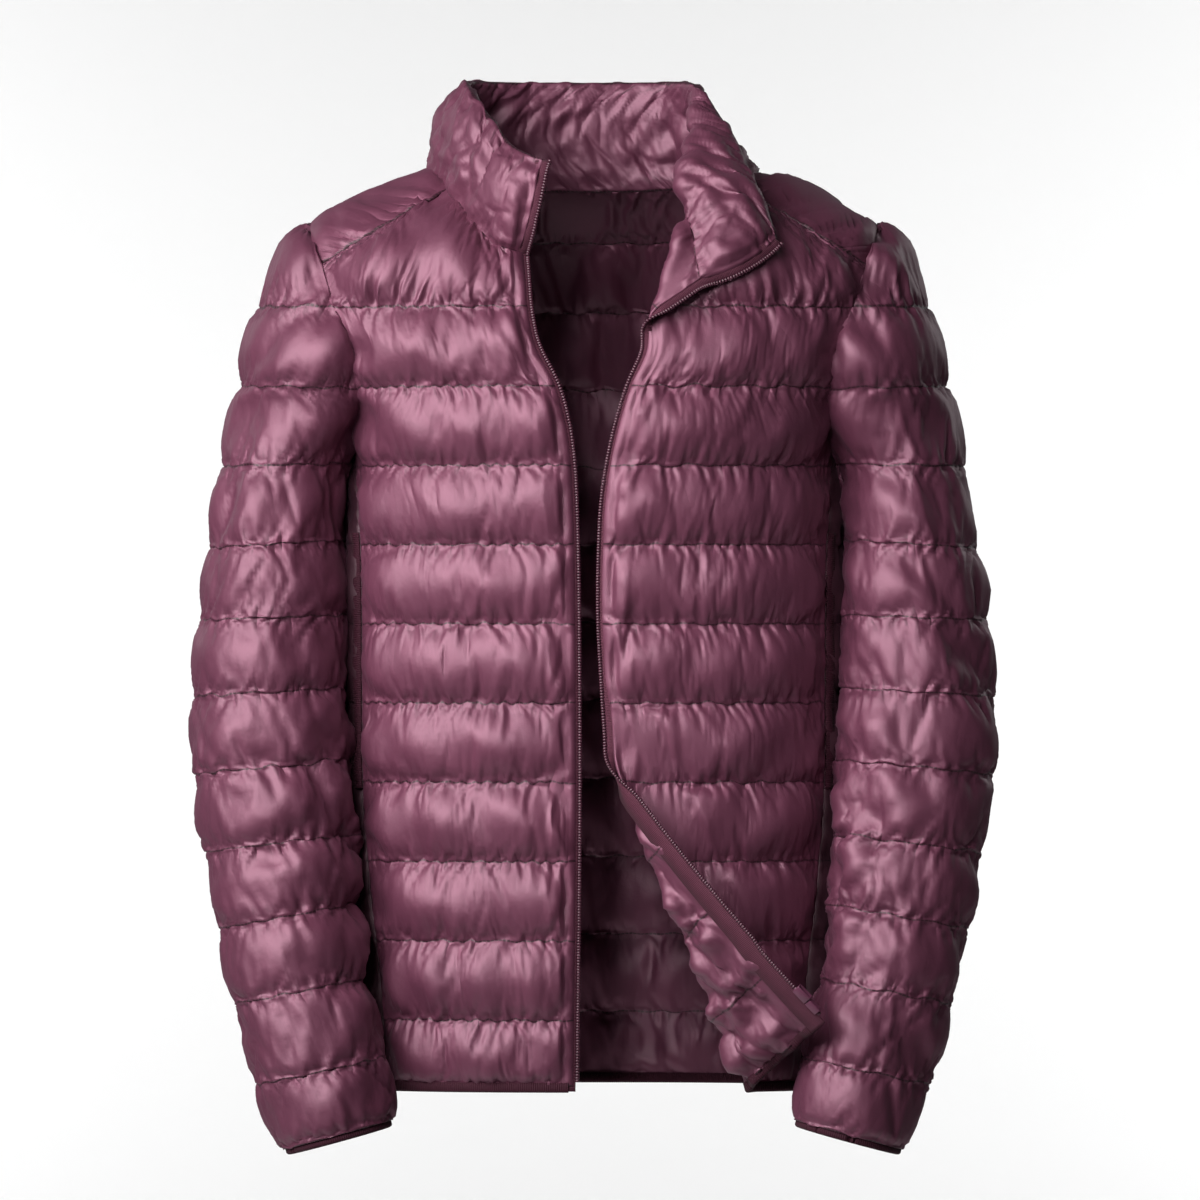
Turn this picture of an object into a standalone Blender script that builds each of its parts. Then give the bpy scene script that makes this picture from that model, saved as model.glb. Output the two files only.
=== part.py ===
"""Puffer jacket, worn shape with no wearer, front zip open.

Metres.  +X is the wearer's left, -Y is the front, +Z is up.  The origin lies
between the two neck points of the shoulder seams, where a wearer holds it up.
Every piece is a wall of its own cloth: a mid surface given by rows and
columns, with filling to both sides that thins at each quilting row and seam.
"""
import math

import bpy
from mathutils import Vector

# ---------------------------------------------------------------- sizes
SHELL = 0.0008          # half thickness of the bare cloth at a seam
ROW_OUT = 0.0020        # cloth and filling held under a quilting row, outside
FILL_OUT = 0.0048       # more filling outside the mid surface, middle of a channel
FILL_IN = 0.0045        # filling inside it
SEAM = 0.0004           # cut edges stand this far back from each seam line
TURNED_SEAM = 0.0013    # the same where two pieces meet at an angle

ROW_TOP = -0.104        # first quilting row below the shoulder
ROW_PITCH = 0.0583      # height of a quilted channel
ROW_COUNT = 10          # quilting rows from there to the last one
HEM = -0.6725           # lower edge of the quilted panels
STEPS = 2               # mesh rows in a channel

UNDERARM = -0.205
ROUNDNESS = 2.4         # exponent of the oval sections
SHOULDER_TOP = 0.002
HALF_DEPTH = 0.135

BINDING_HEIGHT = 0.0095
BINDING_HALF = 0.0022
TAPE_INNER = 0.006      # zip tape on the inner side of the front edge
TAPE_OUTER = 0.0042     # zip tape standing past the front edge
TAPE_HALF = 0.0006
TAPE_LIFT = 0.0008      # between a front's inner face and its zip tape
ROLLED_LIFT = 0.0023    # more of it where the tape follows turned-back corners
COLLAR_LIFT = 0.0019    # collar edge above the neck seam line
COIL_HALF_WIDTH = 0.0016
COIL_HALF_THICK = 0.0013

# height, half width of the body there
BODY_WIDTH = [
    (0.002, 0.118), (0.0, 0.121), (-0.0244, 0.168), (-0.037, 0.201),
    (-0.0444, 0.2128), (-0.060, 0.222), (-0.100, 0.226), (-0.137, 0.215),
    (-0.170, 0.195), (-0.205, 0.177), (-0.260, 0.183), (-0.300, 0.187),
    (-0.450, 0.187), (-0.600, 0.183), (-0.690, 0.177),
]
# height, half width at the armhole or side seam: front panel, back panel
SIDE_SEAM = [
    (-0.0444, 0.2126, 0.2126), (-0.0570, 0.2085, 0.2105), (-0.0733, 0.2031, 0.2065), (-0.1014, 0.1945, 0.2010),
    (-0.137, 0.1795, 0.1920), (-0.170, 0.1765, 0.1840),
    (-0.205, 0.1760, 0.1762), (-0.245, 0.1735, 0.1740),
    (-0.300, 0.1705, 0.1715), (-0.450, 0.1695, 0.1700),
    (-0.540, 0.1630, 0.1680), (-0.600, 0.1560, 0.1650),
    (-0.690, 0.1505, 0.1600),
]
# height, free edge of the wearer's right front, of the wearer's left front
# as it would lie with its two corners turned back again
FRONT_EDGE = [
    (-0.064, -0.0545, 0.0200), (-0.083, -0.0535, 0.0250),
    (-0.127, -0.0475, 0.0430), (-0.164, -0.0304, 0.0300),
    (-0.211, -0.0200, 0.0170), (-0.260, -0.0175, 0.0105),
    (-0.320, -0.0163, 0.0090), (-0.396, -0.0158, 0.0125),
    (-0.440, -0.0156, 0.0150), (-0.690, -0.0178, 0.0140),
]
# top edge of the wearer's right front: x, z (neck seam, then yoke seam), and
# each column's share of the way from the free edge to the side seam
TOP_RIGHT = [
    (-0.0545, -0.0636, 0.00), (-0.0640, -0.0622, 0.06), (-0.0740, -0.0560, 0.17),
    (-0.0840, -0.0465, 0.29), (-0.0960, -0.0310, 0.41), (-0.1080, -0.0150, 0.53),
    (-0.1400, -0.0346, 0.68), (-0.1750, -0.0560, 0.85), (-0.2031, -0.0733, 1.00),
]
# the same for the wearer's left front, with its corner turned back again
TOP_LEFT = [
    (0.0215, -0.0690, 0.00), (0.0310, -0.0610, 0.06), (0.0410, -0.0520, 0.12),
    (0.0510, -0.0440, 0.18), (0.0610, -0.0370, 0.24), (0.0720, -0.0305, 0.31),
    (0.0840, -0.0255, 0.39), (0.0960, -0.0205, 0.47), (0.1080, -0.0150, 0.56),
    (0.1400, -0.0346, 0.70), (0.1750, -0.0560, 0.85), (0.2031, -0.0733, 1.00),
]
YOKE_COLUMNS = 4        # columns of each front that end at the yoke seam
LAPEL_SPLITS = (1, 2, 3, 4, 5)  # left front columns with one more between them and the next
NECK_STEPS = 3          # mesh rows from a front's top edge to the first quilting row
LAPEL_STEPS = 7         # the same on the left front, whose corner is turned back
# back of the neck, half of it: x, z
BACK_NECK = [(0.0, -0.0140), (0.030, -0.0136), (0.060, -0.0120), (0.100, -0.0040)]
# where the columns of half the back cross the first quilting row
BACK_COLUMNS = [0.0, 0.034, 0.064, 0.094, 0.118, 0.136, 0.156, 0.177, 0.1985]

# turned-back corners of the wearer's left front:
# line start x z, line end x z, roll radius at the start and end, turn in degrees,
# and how far the filling is pressed flat beside it, in widths of the roll
LAPEL_FOLD = ((0.0390, -0.1330), (0.0840, -0.0120), 0.0045, 0.0065, 171.0, 2.8)
CORNER_FOLD = ((0.0165, -0.4250), (0.1180, -0.6730), 0.0060, 0.0130, 136.0, 1.7)
# more mesh rows where the free edge starts to turn over at each fold
FOLD_ROWS = (-0.1095, -0.1150, -0.1205, -0.1260, -0.4330, -0.4400, -0.4470, -0.4610, -0.4690)

# collar stations round the neck from the wearer's right to the left: neck seam
# x, side of the body, middle of the stand x y z, top edge x y z
COLLAR = [
    (-0.0545, -1, (-0.0450, -0.1110, -0.0320), (-0.0370, -0.1070, -0.0010)),
    (-0.0640, -1, (-0.0560, -0.1040, -0.0280), (-0.0490, -0.0980, 0.0040)),
    (-0.0740, -1, (-0.0690, -0.0920, -0.0210), (-0.0620, -0.0850, 0.0120)),
    (-0.0840, -1, (-0.0800, -0.0800, -0.0090), (-0.0710, -0.0700, 0.0250)),
    (-0.0960, -1, (-0.0940, -0.0600, 0.0060), (-0.0820, -0.0500, 0.0400)),
    (-0.1080, -1, (-0.1060, -0.0330, 0.0180), (-0.0900, -0.0300, 0.0530)),
    (-0.1210, 1, (-0.1120, 0.0040, 0.0310), (-0.0930, 0.0050, 0.0600)),
    (-0.1000, 1, (-0.1000, 0.0330, 0.0280), (-0.0860, 0.0330, 0.0610)),
    (-0.0600, 1, (-0.0610, 0.0520, 0.0250), (-0.0530, 0.0540, 0.0610)),
    (0.0000, 1, (0.0000, 0.0590, 0.0240), (0.0000, 0.0600, 0.0610)),
    (0.0600, 1, (0.0570, 0.0510, 0.0250), (0.0470, 0.0500, 0.0610)),
    (0.1000, 1, (0.0870, 0.0230, 0.0300), (0.0660, 0.0270, 0.0605)),
    (0.1210, 1, (0.0880, -0.0040, 0.0300), (0.0750, 0.0050, 0.0580)),
    (0.1080, -1, (0.0770, -0.0300, 0.0220), (0.0845, -0.0130, 0.0480)),
    (0.0960, -1, (0.0735, -0.0480, 0.0120), (0.0950, -0.0280, 0.0320)),
    (0.0840, -1, (0.0715, -0.0650, 0.0040), (0.1050, -0.0420, 0.0160)),
    (0.0720, -1, (0.0715, -0.0800, -0.0060), (0.1125, -0.0580, -0.0010)),
    (0.0610, -1, (0.0800, -0.0930, -0.0180), (0.1190, -0.0730, -0.0160)),
    (0.0510, -1, (0.0970, -0.1010, -0.0330), (0.1255, -0.0850, -0.0310)),
    (0.0410, -1, (0.1030, -0.1080, -0.0460), (0.1300, -0.0930, -0.0430)),
    (0.0310, -1, (0.1070, -0.1130, -0.0590), (0.1330, -0.0990, -0.0520)),
    (0.0215, -1, (0.1100, -0.1170, -0.0720), (0.1345, -0.1030, -0.0590)),
]

# sleeve rings, outside of the filling: height at the middle, centre x, centre y,
# half width, half depth, drop of the outer side below the middle
SLEEVE = [
    (-0.2206, 0.2315, -0.014, 0.0445, 0.0730, 0.001),
    (-0.2789, 0.2370, -0.034, 0.0470, 0.0670, 0.003),
    (-0.3330, 0.2398, -0.044, 0.0515, 0.0640, 0.002),
    (-0.3880, 0.2433, -0.055, 0.0530, 0.0605, 0.003),
    (-0.4430, 0.2405, -0.066, 0.0550, 0.0575, 0.005),
    (-0.4990, 0.2330, -0.078, 0.0540, 0.0545, 0.006),
    (-0.5530, 0.2259, -0.090, 0.0512, 0.0515, 0.008),
    (-0.6080, 0.2165, -0.103, 0.0485, 0.0485, 0.008),
    (-0.6660, 0.2005, -0.116, 0.0485, 0.0455, 0.009),
    (-0.7080, 0.1890, -0.1240, 0.0425, 0.0410, 0.0100),
]
# sleeve cap levels: height, outer reach, centre x, half depth, arc half angle, fullness
CAP = [
    (-0.0466, 0.2190, 0.1960, 0.0230, 90.0, -1.0),
    (-0.0600, 0.2340, 0.1980, 0.0480, 90.0, 0.2),
    (-0.0780, 0.2425, 0.2000, 0.0640, 92.0, 0.8),
    (-0.1040, 0.2500, 0.2050, 0.0770, 96.0, 0.0),
    (-0.1240, 0.2548, 0.2100, 0.0830, 104.0, 0.9),
    (-0.1430, 0.2585, 0.2150, 0.0860, 116.0, 0.9),
    (-0.1623, 0.2625, 0.2200, 0.0840, 132.0, 0.0),
    (-0.1830, 0.2670, 0.2250, 0.0790, 150.0, 0.8),
]
CAP_CLEAR = 0.0018      # cap edge beside the armhole edge
CAP_TOP_CLEAR = 0.0044  # the same at the shoulder point
SLEEVE_COLUMNS = 14
SLEEVE_FILL = 0.005     # ring sizes above are outside sizes; the mid surface is less


# ---------------------------------------------------------------- helpers
def table(rows, z, column=1):
    """Straight-line reading of a table whose first column is a falling height."""
    if z >= rows[0][0]:
        return rows[0][column]
    for upper, lower in zip(rows, rows[1:]):
        if z >= lower[0]:
            share = (upper[0] - z) / (upper[0] - lower[0])
            return upper[column] + (lower[column] - upper[column]) * share
    return rows[-1][column]


def half_depth(z):
    """Half depth of the body: full below the underarm, rounding in above it."""
    if z <= -0.20:
        return HALF_DEPTH - 0.06 * max(0.0, -0.58 - z)
    share = (z + 0.20) / (SHOULDER_TOP + 0.20)
    return HALF_DEPTH * math.sqrt(max(0.0, 1.0 - share * share))


def body_point(x, z, side):
    """Point of the body's mid surface at x and z; side -1 is front, 1 is back."""
    reach = min(1.0, abs(x) / table(BODY_WIDTH, z)) ** ROUNDNESS
    depth = half_depth(z) * (1.0 - reach) ** (1.0 / ROUNDNESS)
    return Vector((x, side * depth, z))


def body_turn(z, turn):
    """Point of the oval section at z; turn 0 is the left side, -90 the front."""
    power = 2.0 / ROUNDNESS
    c, s = math.cos(turn), math.sin(turn)
    x = table(BODY_WIDTH, z) * math.copysign(abs(c) ** power, c)
    y = half_depth(z) * math.copysign(abs(s) ** power, s)
    return Vector((x, y, z))


def turn_of(x, z, side):
    """The turn at which the oval section at z passes x."""
    share = max(-1.0, min(1.0, x / table(BODY_WIDTH, z)))
    return side * math.acos(math.copysign(abs(share) ** (ROUNDNESS / 2.0), share))


def over_shoulder(x, y):
    """Point of the shoulder above x and y, found by halving the height range."""
    low, high = ROW_TOP, SHOULDER_TOP
    for _ in range(40):
        middle = (low + high) / 2.0
        if abs(body_point(x, middle, 1).y) > abs(y):
            low = middle
        else:
            high = middle
    return Vector((x, y, low))


def grid_normals(mid, wrap_from=None):
    """Unit normals of a grid of points, from its neighbours along both ways."""
    last_row, last_col = len(mid) - 1, len(mid[0]) - 1
    normals = []
    for r, row in enumerate(mid):
        line = []
        for c in range(len(row)):
            joined = wrap_from is not None and r >= wrap_from
            left = row[c - 1] if c > 0 or joined else row[c]
            right = row[(c + 1) % (last_col + 1)] if c < last_col or joined else row[c]
            down = mid[min(r + 1, last_row)][c] - mid[max(r - 1, 0)][c]
            line.append((right - left).cross(down).normalized())
        normals.append(line)
    return normals


def pull_back(mid, top=0.0, bottom=0.0, first=0.0, last=0.0):
    """Move the four edges of a grid inwards along the cloth."""
    def towards(point, inner, distance):
        return point + (inner - point).normalized() * distance if distance else point

    mid[0] = [towards(p, q, top) for p, q in zip(mid[0], mid[1])]
    mid[-1] = [towards(p, q, bottom) for p, q in zip(mid[-1], mid[-2])]
    for row in mid:
        row[0] = towards(row[0], row[1], first)
        row[-1] = towards(row[-1], row[-2], last)
    return mid


def finish(name, verts, faces, material):
    """A closed mesh object with its faces outwards and round shading."""
    mesh = bpy.data.meshes.new(name)
    mesh.from_pydata([tuple(v) for v in verts], [], faces)
    mesh.update()
    obj = bpy.data.objects.new(name, mesh)
    bpy.context.scene.collection.objects.link(obj)
    mesh.materials.append(material)
    mesh.shade_smooth()
    mesh.set_sharp_from_angle(angle=math.radians(14))
    return obj


def wall(name, mid, t_out, t_in, material, wrap_from=None, flip=False):
    """Closed wall around a grid: outer and inner face and the rim between them.

    Rows from wrap_from on are joined into a tube.  t_out and t_in are grids of
    the cloth's reach to each side of the mid surface.
    """
    rows, cols = len(mid), len(mid[0])
    normals = grid_normals(mid, wrap_from)
    sign = -1.0 if flip else 1.0
    outer, inner = [], []
    for r in range(rows):
        for c in range(cols):
            step = normals[r][c] * sign
            outer.append(mid[r][c] + step * t_out[r][c])
            inner.append(mid[r][c] - step * t_in[r][c])
    shift = rows * cols
    faces = []

    def quad(a, b, c, d):
        faces.append((a, b, c, d) if flip else (d, c, b, a))

    for r in range(rows - 1):
        joined = wrap_from is not None and r >= wrap_from
        for c in range(cols if joined else cols - 1):
            e = (c + 1) % cols
            a, b = r * cols + c, r * cols + e
            d, g = (r + 1) * cols + c, (r + 1) * cols + e
            quad(a, d, g, b)
            quad(a + shift, b + shift, g + shift, d + shift)
    open_rows = rows - 1 if wrap_from is None else wrap_from
    for r in range(open_rows):
        a, d = r * cols, (r + 1) * cols
        quad(a, a + shift, d + shift, d)
        a, d = a + cols - 1, d + cols - 1
        quad(a, d, d + shift, a + shift)
    for c in range(cols - 1):
        quad(c, c + 1, c + 1 + shift, c + shift)
    bottom = (rows - 1) * cols
    closed = wrap_from is not None
    for c in range(cols if closed else cols - 1):
        e = (c + 1) % cols
        quad(bottom + c, bottom + c + shift, bottom + e + shift, bottom + e)
    if closed:
        a, b = wrap_from * cols, wrap_from * cols + cols - 1
        quad(b, a, a + shift, b + shift)
    return finish(name, outer + inner, faces, material)


def cloth(name, hex_code, roughness):
    """Glossy dyed nylon as a plain material."""
    linear = []
    for start in (0, 2, 4):
        value = int(hex_code[start:start + 2], 16) / 255.0
        linear.append(value / 12.92 if value <= 0.04045 else ((value + 0.055) / 1.055) ** 2.4)
    material = bpy.data.materials.new(name)
    material.use_nodes = True
    shader = material.node_tree.nodes["Principled BSDF"]
    shader.inputs["Base Color"].default_value = (*linear, 1.0)
    shader.inputs["Roughness"].default_value = roughness
    shader.inputs["Metallic"].default_value = 0.0
    return material


# ---------------------------------------------------------------- quilting
def channel_rows():
    """Heights of the mesh rows below the first quilting row, and their fullness."""
    lines = [ROW_TOP - ROW_PITCH * k for k in range(ROW_COUNT)] + [HEM]
    rows = [(lines[0], 0.0)]
    for upper, lower in zip(lines, lines[1:]):
        for step in range(1, STEPS + 1):
            share = step / STEPS
            rows.append((upper + (lower - upper) * share, math.sin(math.pi * share)))
    rows[-1] = (HEM, -1.0)
    return rows


def fullness(rows_full, cols_full, scale=1.0):
    """Grids of the reach outwards and inwards for row and column fullness.

    A row below zero is a cut end of the piece, where only bare cloth is left.
    """
    t_out, t_in = [], []
    for rise in rows_full:
        held = ROW_OUT if rise >= 0.0 else 0.0
        rise = max(0.0, rise)
        t_out.append([SHELL + scale * c * (held + FILL_OUT * rise) for c in cols_full])
        t_in.append([SHELL + scale * c * FILL_IN * rise for c in cols_full])
    return t_out, t_in


# ---------------------------------------------------------------- folds
def turned(point, fold):
    """A point of the left front after its corner beyond the fold is turned back."""
    (x0, z0), (x1, z1), radius0, radius1, degrees, _ = fold
    length = math.hypot(x1 - x0, z1 - z0)
    dx, dz = (x1 - x0) / length, (z1 - z0) / length
    along = (point.x - x0) * dx + (point.z - z0) * dz
    side = -1.0 if dz > 0 else 1.0
    beyond = side * (-(point.x - x0) * dz + (point.z - z0) * dx) * -1.0
    if beyond <= 0.0:
        return point
    base_x, base_z = x0 + dx * along, z0 + dz * along
    base = body_point(base_x, base_z, -1)
    step = 0.002
    ahead = body_point(base_x + dx * step, base_z + dz * step, -1) - base
    across = body_point(base_x - step, base_z, -1) - base
    normal = across.cross(ahead).normalized()
    if normal.y > 0.0:
        normal.negate()
    away = ahead.cross(normal).normalized()
    if away.x > 0.0:
        away.negate()
    share = max(0.0, min(1.0, along / length))
    radius = radius0 + (radius1 - radius0) * share
    most = math.radians(degrees)
    angle = min(beyond / radius, most)
    rest = beyond - angle * radius
    result = base + away * (radius * math.sin(angle)) + normal * (radius * (1.0 - math.cos(angle)))
    return result + (away * math.cos(angle) + normal * math.sin(angle)) * rest


def rolled(point, fold):
    """1 where the cloth is rolled by a fold and pressed thin, 0 away from it."""
    (x0, z0), (x1, z1), radius0, radius1, degrees, spread = fold
    length = math.hypot(x1 - x0, z1 - z0)
    dx, dz = (x1 - x0) / length, (z1 - z0) / length
    along = (point.x - x0) * dx + (point.z - z0) * dz
    across = abs((point.x - x0) * dz - (point.z - z0) * dx)
    if along < -0.02 or along > length + 0.02:
        return 0.0
    reach = max(radius0, radius1) * math.radians(degrees)
    return max(0.0, min(1.0, spread - across / reach))


def left_front(point):
    """Both turned-back corners of the left front."""
    return turned(turned(point, LAPEL_FOLD), CORNER_FOLD)


# ---------------------------------------------------------------- fronts
def front_grid(side):
    """Flat-lying grid of a front: rows from the neck and yoke down to the hem."""
    top = TOP_RIGHT
    if side > 0:
        top = list(TOP_LEFT)
        for k in reversed(LAPEL_SPLITS):
            between = tuple((a + b) / 2.0 for a, b in zip(top[k], top[k + 1]))
            top.insert(k + 1, between)
    edge_column = 2 if side > 0 else 1

    def level(z):
        edge = table(FRONT_EDGE, z, edge_column)
        seam = side * table(SIDE_SEAM, z)
        start, end = turn_of(edge, z, -1), turn_of(seam, z, -1)
        return [body_turn(z, start + (end - start) * share) for _, _, share in top]

    first = level(ROW_TOP)
    rows, full = [], []
    steps = LAPEL_STEPS if side > 0 else NECK_STEPS
    for step in range(steps):
        share = step / steps
        line = []
        for (x_head, z_head, _), foot in zip(top, first):
            x = x_head + (foot.x - x_head) * share
            z = z_head + (foot.z - z_head) * share
            line.append(body_point(x, z, -1))
        line[-1] = body_point(side * table(SIDE_SEAM, line[-1].z), line[-1].z, -1)
        rows.append(line)
        full.append(0.85 if step else -1.0)
    below = channel_rows()
    if side > 0:
        for z in FOLD_ROWS:
            rise = abs(math.sin(math.pi * (ROW_TOP - z) / ROW_PITCH))
            below.append((z, rise))
        below.sort(reverse=True)
    for z, rise in below:
        rows.append(level(z))
        full.append(rise)
    return rows, full


def front_panel(side, material):
    """One front; the wearer's left one has two corners turned back."""
    rows, full = front_grid(side)
    columns = len(rows[0])
    t_out, t_in = fullness(full, [0.0, 0.0] + [1.0] * (columns - 3) + [0.0])
    if side > 0:
        for r, row in enumerate(rows):
            for c, point in enumerate(row):
                press = 1.0 - 0.92 * max(rolled(point, LAPEL_FOLD), rolled(point, CORNER_FOLD))
                t_out[r][c] = SHELL + (t_out[r][c] - SHELL) * press
                t_in[r][c] = SHELL + (t_in[r][c] - SHELL) * press
        rows = [[left_front(p) for p in row] for row in rows]
    pull_back(rows, top=SEAM, bottom=SEAM, first=SEAM, last=SEAM)
    for c in range(columns - YOKE_COLUMNS + 1):
        rows[0][c] += (rows[1][c] - rows[0][c]).normalized() * (TURNED_SEAM - SEAM)
    name = "front_left" if side > 0 else "front_right"
    wall(name, rows, t_out, t_in, material, flip=side > 0)
    return rows


# ---------------------------------------------------------------- back
def even_path(points, count):
    """The same path with its points evenly spaced: count steps, both ends kept."""
    lengths = [0.0]
    for start, end in zip(points, points[1:]):
        lengths.append(lengths[-1] + (end - start).length)
    result, k = [], 0
    for step in range(count + 1):
        goal = lengths[-1] * step / count
        while k < len(points) - 2 and lengths[k + 1] < goal:
            k += 1
        share = (goal - lengths[k]) / max(1e-9, lengths[k + 1] - lengths[k])
        result.append(points[k].lerp(points[k + 1], min(1.0, share)))
    return result


def armhole_reach(y):
    """Half width of the body's armhole edge where its depth is y."""
    column = 1 if y < 0.0 else 2
    low, high = UNDERARM + 0.03, SIDE_SEAM[0][0]
    for _ in range(30):
        middle = (low + high) / 2.0
        depth = body_point(table(SIDE_SEAM, middle, column), middle, 1).y
        low, high = (middle, high) if depth > abs(y) else (low, middle)
    return table(SIDE_SEAM, low, column)


def back_panel(material):
    """One piece from hem to neck, running over both shoulders to the yoke seams."""
    half = [(x, z, 1) for x, z in BACK_NECK] + [(0.121, 0.0, 1)]
    half += [(x, z, -1) for x, z, _ in TOP_LEFT[-YOKE_COLUMNS:]]
    over, fine = 6, 48
    columns = []
    for (x_top, z_top, side), x_foot in zip(half, BACK_COLUMNS):
        head, foot = body_point(x_top, z_top, side), body_point(x_foot, ROW_TOP, 1)
        path = []
        for step in range(fine + 1):
            share = step / fine
            y = foot.y + (head.y - foot.y) * (1.0 - math.cos(share * math.pi / 2.0))
            x = foot.x + (head.x - foot.x) * (share if side > 0 else share ** 4)
            edge = armhole_reach(y)
            plain = BACK_COLUMNS[-1] + (half[-1][0] - BACK_COLUMNS[-1]) * share
            x *= 1.0 + (edge / plain - 1.0) * min(1.0, x / plain) ** 3
            path.append(over_shoulder(x, y))
        path[0], path[-1] = foot, head
        columns.append(list(reversed(even_path(path, over))))
    full = [-1.0] + [0.85] * (over - 1)
    rows = [list(row) for row in zip(*[column[:-1] for column in columns])]
    for z, rise in channel_rows():
        seam = table(SIDE_SEAM, z, 2)
        reach = math.pi / 2.0 - turn_of(seam, z, 1)
        line = []
        for x_foot in BACK_COLUMNS:
            share = x_foot / BACK_COLUMNS[-1]
            bend = math.asin(share) / math.pi
            line.append(body_turn(z, math.pi / 2.0 - reach * (0.5 * share + bend)))
        rows.append(line)
        full.append(rise)
    rows[over][:] = [body_point(x, ROW_TOP, 1) for x in BACK_COLUMNS]
    rows = [[Vector((-p.x, p.y, p.z)) for p in reversed(row[1:])] + row for row in rows]
    count = len(rows[0])
    pull_back(rows, top=SEAM, bottom=SEAM, first=SEAM, last=SEAM)
    middle, neck_half = count // 2, len(BACK_NECK) + 1
    for c in range(middle - neck_half, middle + neck_half + 1):
        rows[0][c] += (rows[1][c] - rows[0][c]).normalized() * (TURNED_SEAM - SEAM)
    t_out, t_in = fullness(full, [0.0] + [1.0] * (count - 2) + [0.0])
    wall("back", rows, t_out, t_in, material)
    return rows


# ---------------------------------------------------------------- sides
SIDE_SHARES = [0.0, 0.16, 0.5, 0.84, 1.0]
SIDE_FILL = 0.6
POCKET = (-0.270, -0.462)   # top and bottom of the pocket welt


def side_panel(side, material):
    """Narrow panel between front and back, from the underarm to the hem."""
    rows, full = [], []
    levels = [(UNDERARM - 0.004, -1.0)] + [p for p in channel_rows() if p[0] < UNDERARM - 0.01]
    for z, rise in levels:
        start = turn_of(side * table(SIDE_SEAM, z), z, -1)
        end = turn_of(side * table(SIDE_SEAM, z, 2), z, 1)
        if side < 0:
            end -= 2.0 * math.pi
        rows.append([body_turn(z, start + (end - start) * s) for s in SIDE_SHARES])
        full.append(rise)
    pull_back(rows, top=TURNED_SEAM, bottom=SEAM, first=SEAM, last=SEAM)
    t_out, t_in = fullness(full, [0.0, 0.5, 1.0, 0.5, 0.0], SIDE_FILL)
    name = "side_left" if side > 0 else "side_right"
    wall(name, rows, t_out, t_in, material, flip=side > 0)
    return rows, t_out


def pocket_welt(side, rows, t_out, material):
    """Bound strip of the slanting pocket, lying on the side panel at its front seam."""
    picked = [k for k, row in enumerate(rows) if POCKET[1] <= row[0].z <= POCKET[0]]
    normals = grid_normals(rows)
    sign = -1.0 if side > 0 else 1.0
    lift = 0.0018
    strip = []
    for k in picked:
        line = []
        for share in (0.08, 0.5, 0.92):
            point = rows[k][0].lerp(rows[k][1], share)
            reach = t_out[k][0] + (t_out[k][1] - t_out[k][0]) * share
            normal = (normals[k][0].lerp(normals[k][1], share)).normalized() * sign
            line.append(point + normal * (reach + lift))
        strip.append(line)
    thin = [[0.0007] * 3 for _ in strip]
    name = "pocket_welt_left" if side > 0 else "pocket_welt_right"
    wall(name, strip, thin, thin, material, flip=side > 0)


# ---------------------------------------------------------------- sleeves
def armhole_point(z, side):
    """Where the body ends at height z, at the front (-1) or the back (1)."""
    return body_point(table(SIDE_SEAM, z, 1 if side < 0 else 2), z, side)


def sleeve_ring(z, cx, cy, half_w, half_d, drop, limit=180.0):
    """Points round the arm from the back seam, over the outside, to the front."""
    points = []
    for k in range(SLEEVE_COLUMNS):
        share = -1.0 + 2.0 * (k + 0.5) / SLEEVE_COLUMNS if limit >= 180.0 else (
            -1.0 + 2.0 * k / (SLEEVE_COLUMNS - 1))
        angle = math.radians(limit) * share
        x = cx + (half_w - SLEEVE_FILL) * math.cos(angle)
        y = cy - (half_d - SLEEVE_FILL) * math.sin(angle)
        points.append(Vector((x, y, z - drop * math.cos(angle))))
    return points


def sleeve(side, material):
    """Tube of quilted cloth with a shaped cap, worn on the wearer's left or right."""
    rows, full = [], []
    last = SLEEVE_COLUMNS - 1
    for z, reach, cx, half_d, limit, rise in CAP:
        ring = sleeve_ring(z, cx, -0.003, reach - cx, half_d, 0.0, limit)
        clear = Vector((CAP_TOP_CLEAR if not rows else CAP_CLEAR, 0.0, 0.0))
        ends = (armhole_point(z, 1) + clear, armhole_point(z, -1) + clear)
        line = []
        for k, point in enumerate(ring):
            share = -1.0 + 2.0 * k / last
            goal, own = (ends[0], ring[0]) if share < 0 else (ends[1], ring[-1])
            moved = point + (goal - own) * abs(share) ** 3
            moved.x = max(moved.x, ends[0].lerp(ends[1], k / last).x)
            line.append(moved)
        rows.append(even_path(line, last))
        full.append(rise)
    wrap_from = len(rows)
    for upper, lower in zip(SLEEVE, SLEEVE[1:]):
        for step in range(STEPS):
            share = step / STEPS
            values = [a + (b - a) * share for a, b in zip(upper, lower)]
            rows.append(sleeve_ring(*values))
            full.append(math.sin(math.pi * share))
    rows.append(sleeve_ring(*SLEEVE[-1]))
    full.append(-1.0)
    t_out, t_in = fullness(full, [1.0] * SLEEVE_COLUMNS, 0.95)
    for r in range(wrap_from):
        for c, share in ((0, 0.0), (1, 0.3), (2, 0.6)):
            for k in (c, SLEEVE_COLUMNS - 1 - c):
                t_out[r][k] = SHELL + (t_out[r][k] - SHELL) * share
                t_in[r][k] = SHELL + (t_in[r][k] - SHELL) * share
    if side < 0:
        rows = [[Vector((-p.x, p.y, p.z)) for p in row] for row in rows]
    name = "sleeve_left" if side > 0 else "sleeve_right"
    wall(name, rows, t_out, t_in, material, wrap_from=wrap_from, flip=side < 0)
    return rows[-1]


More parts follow.
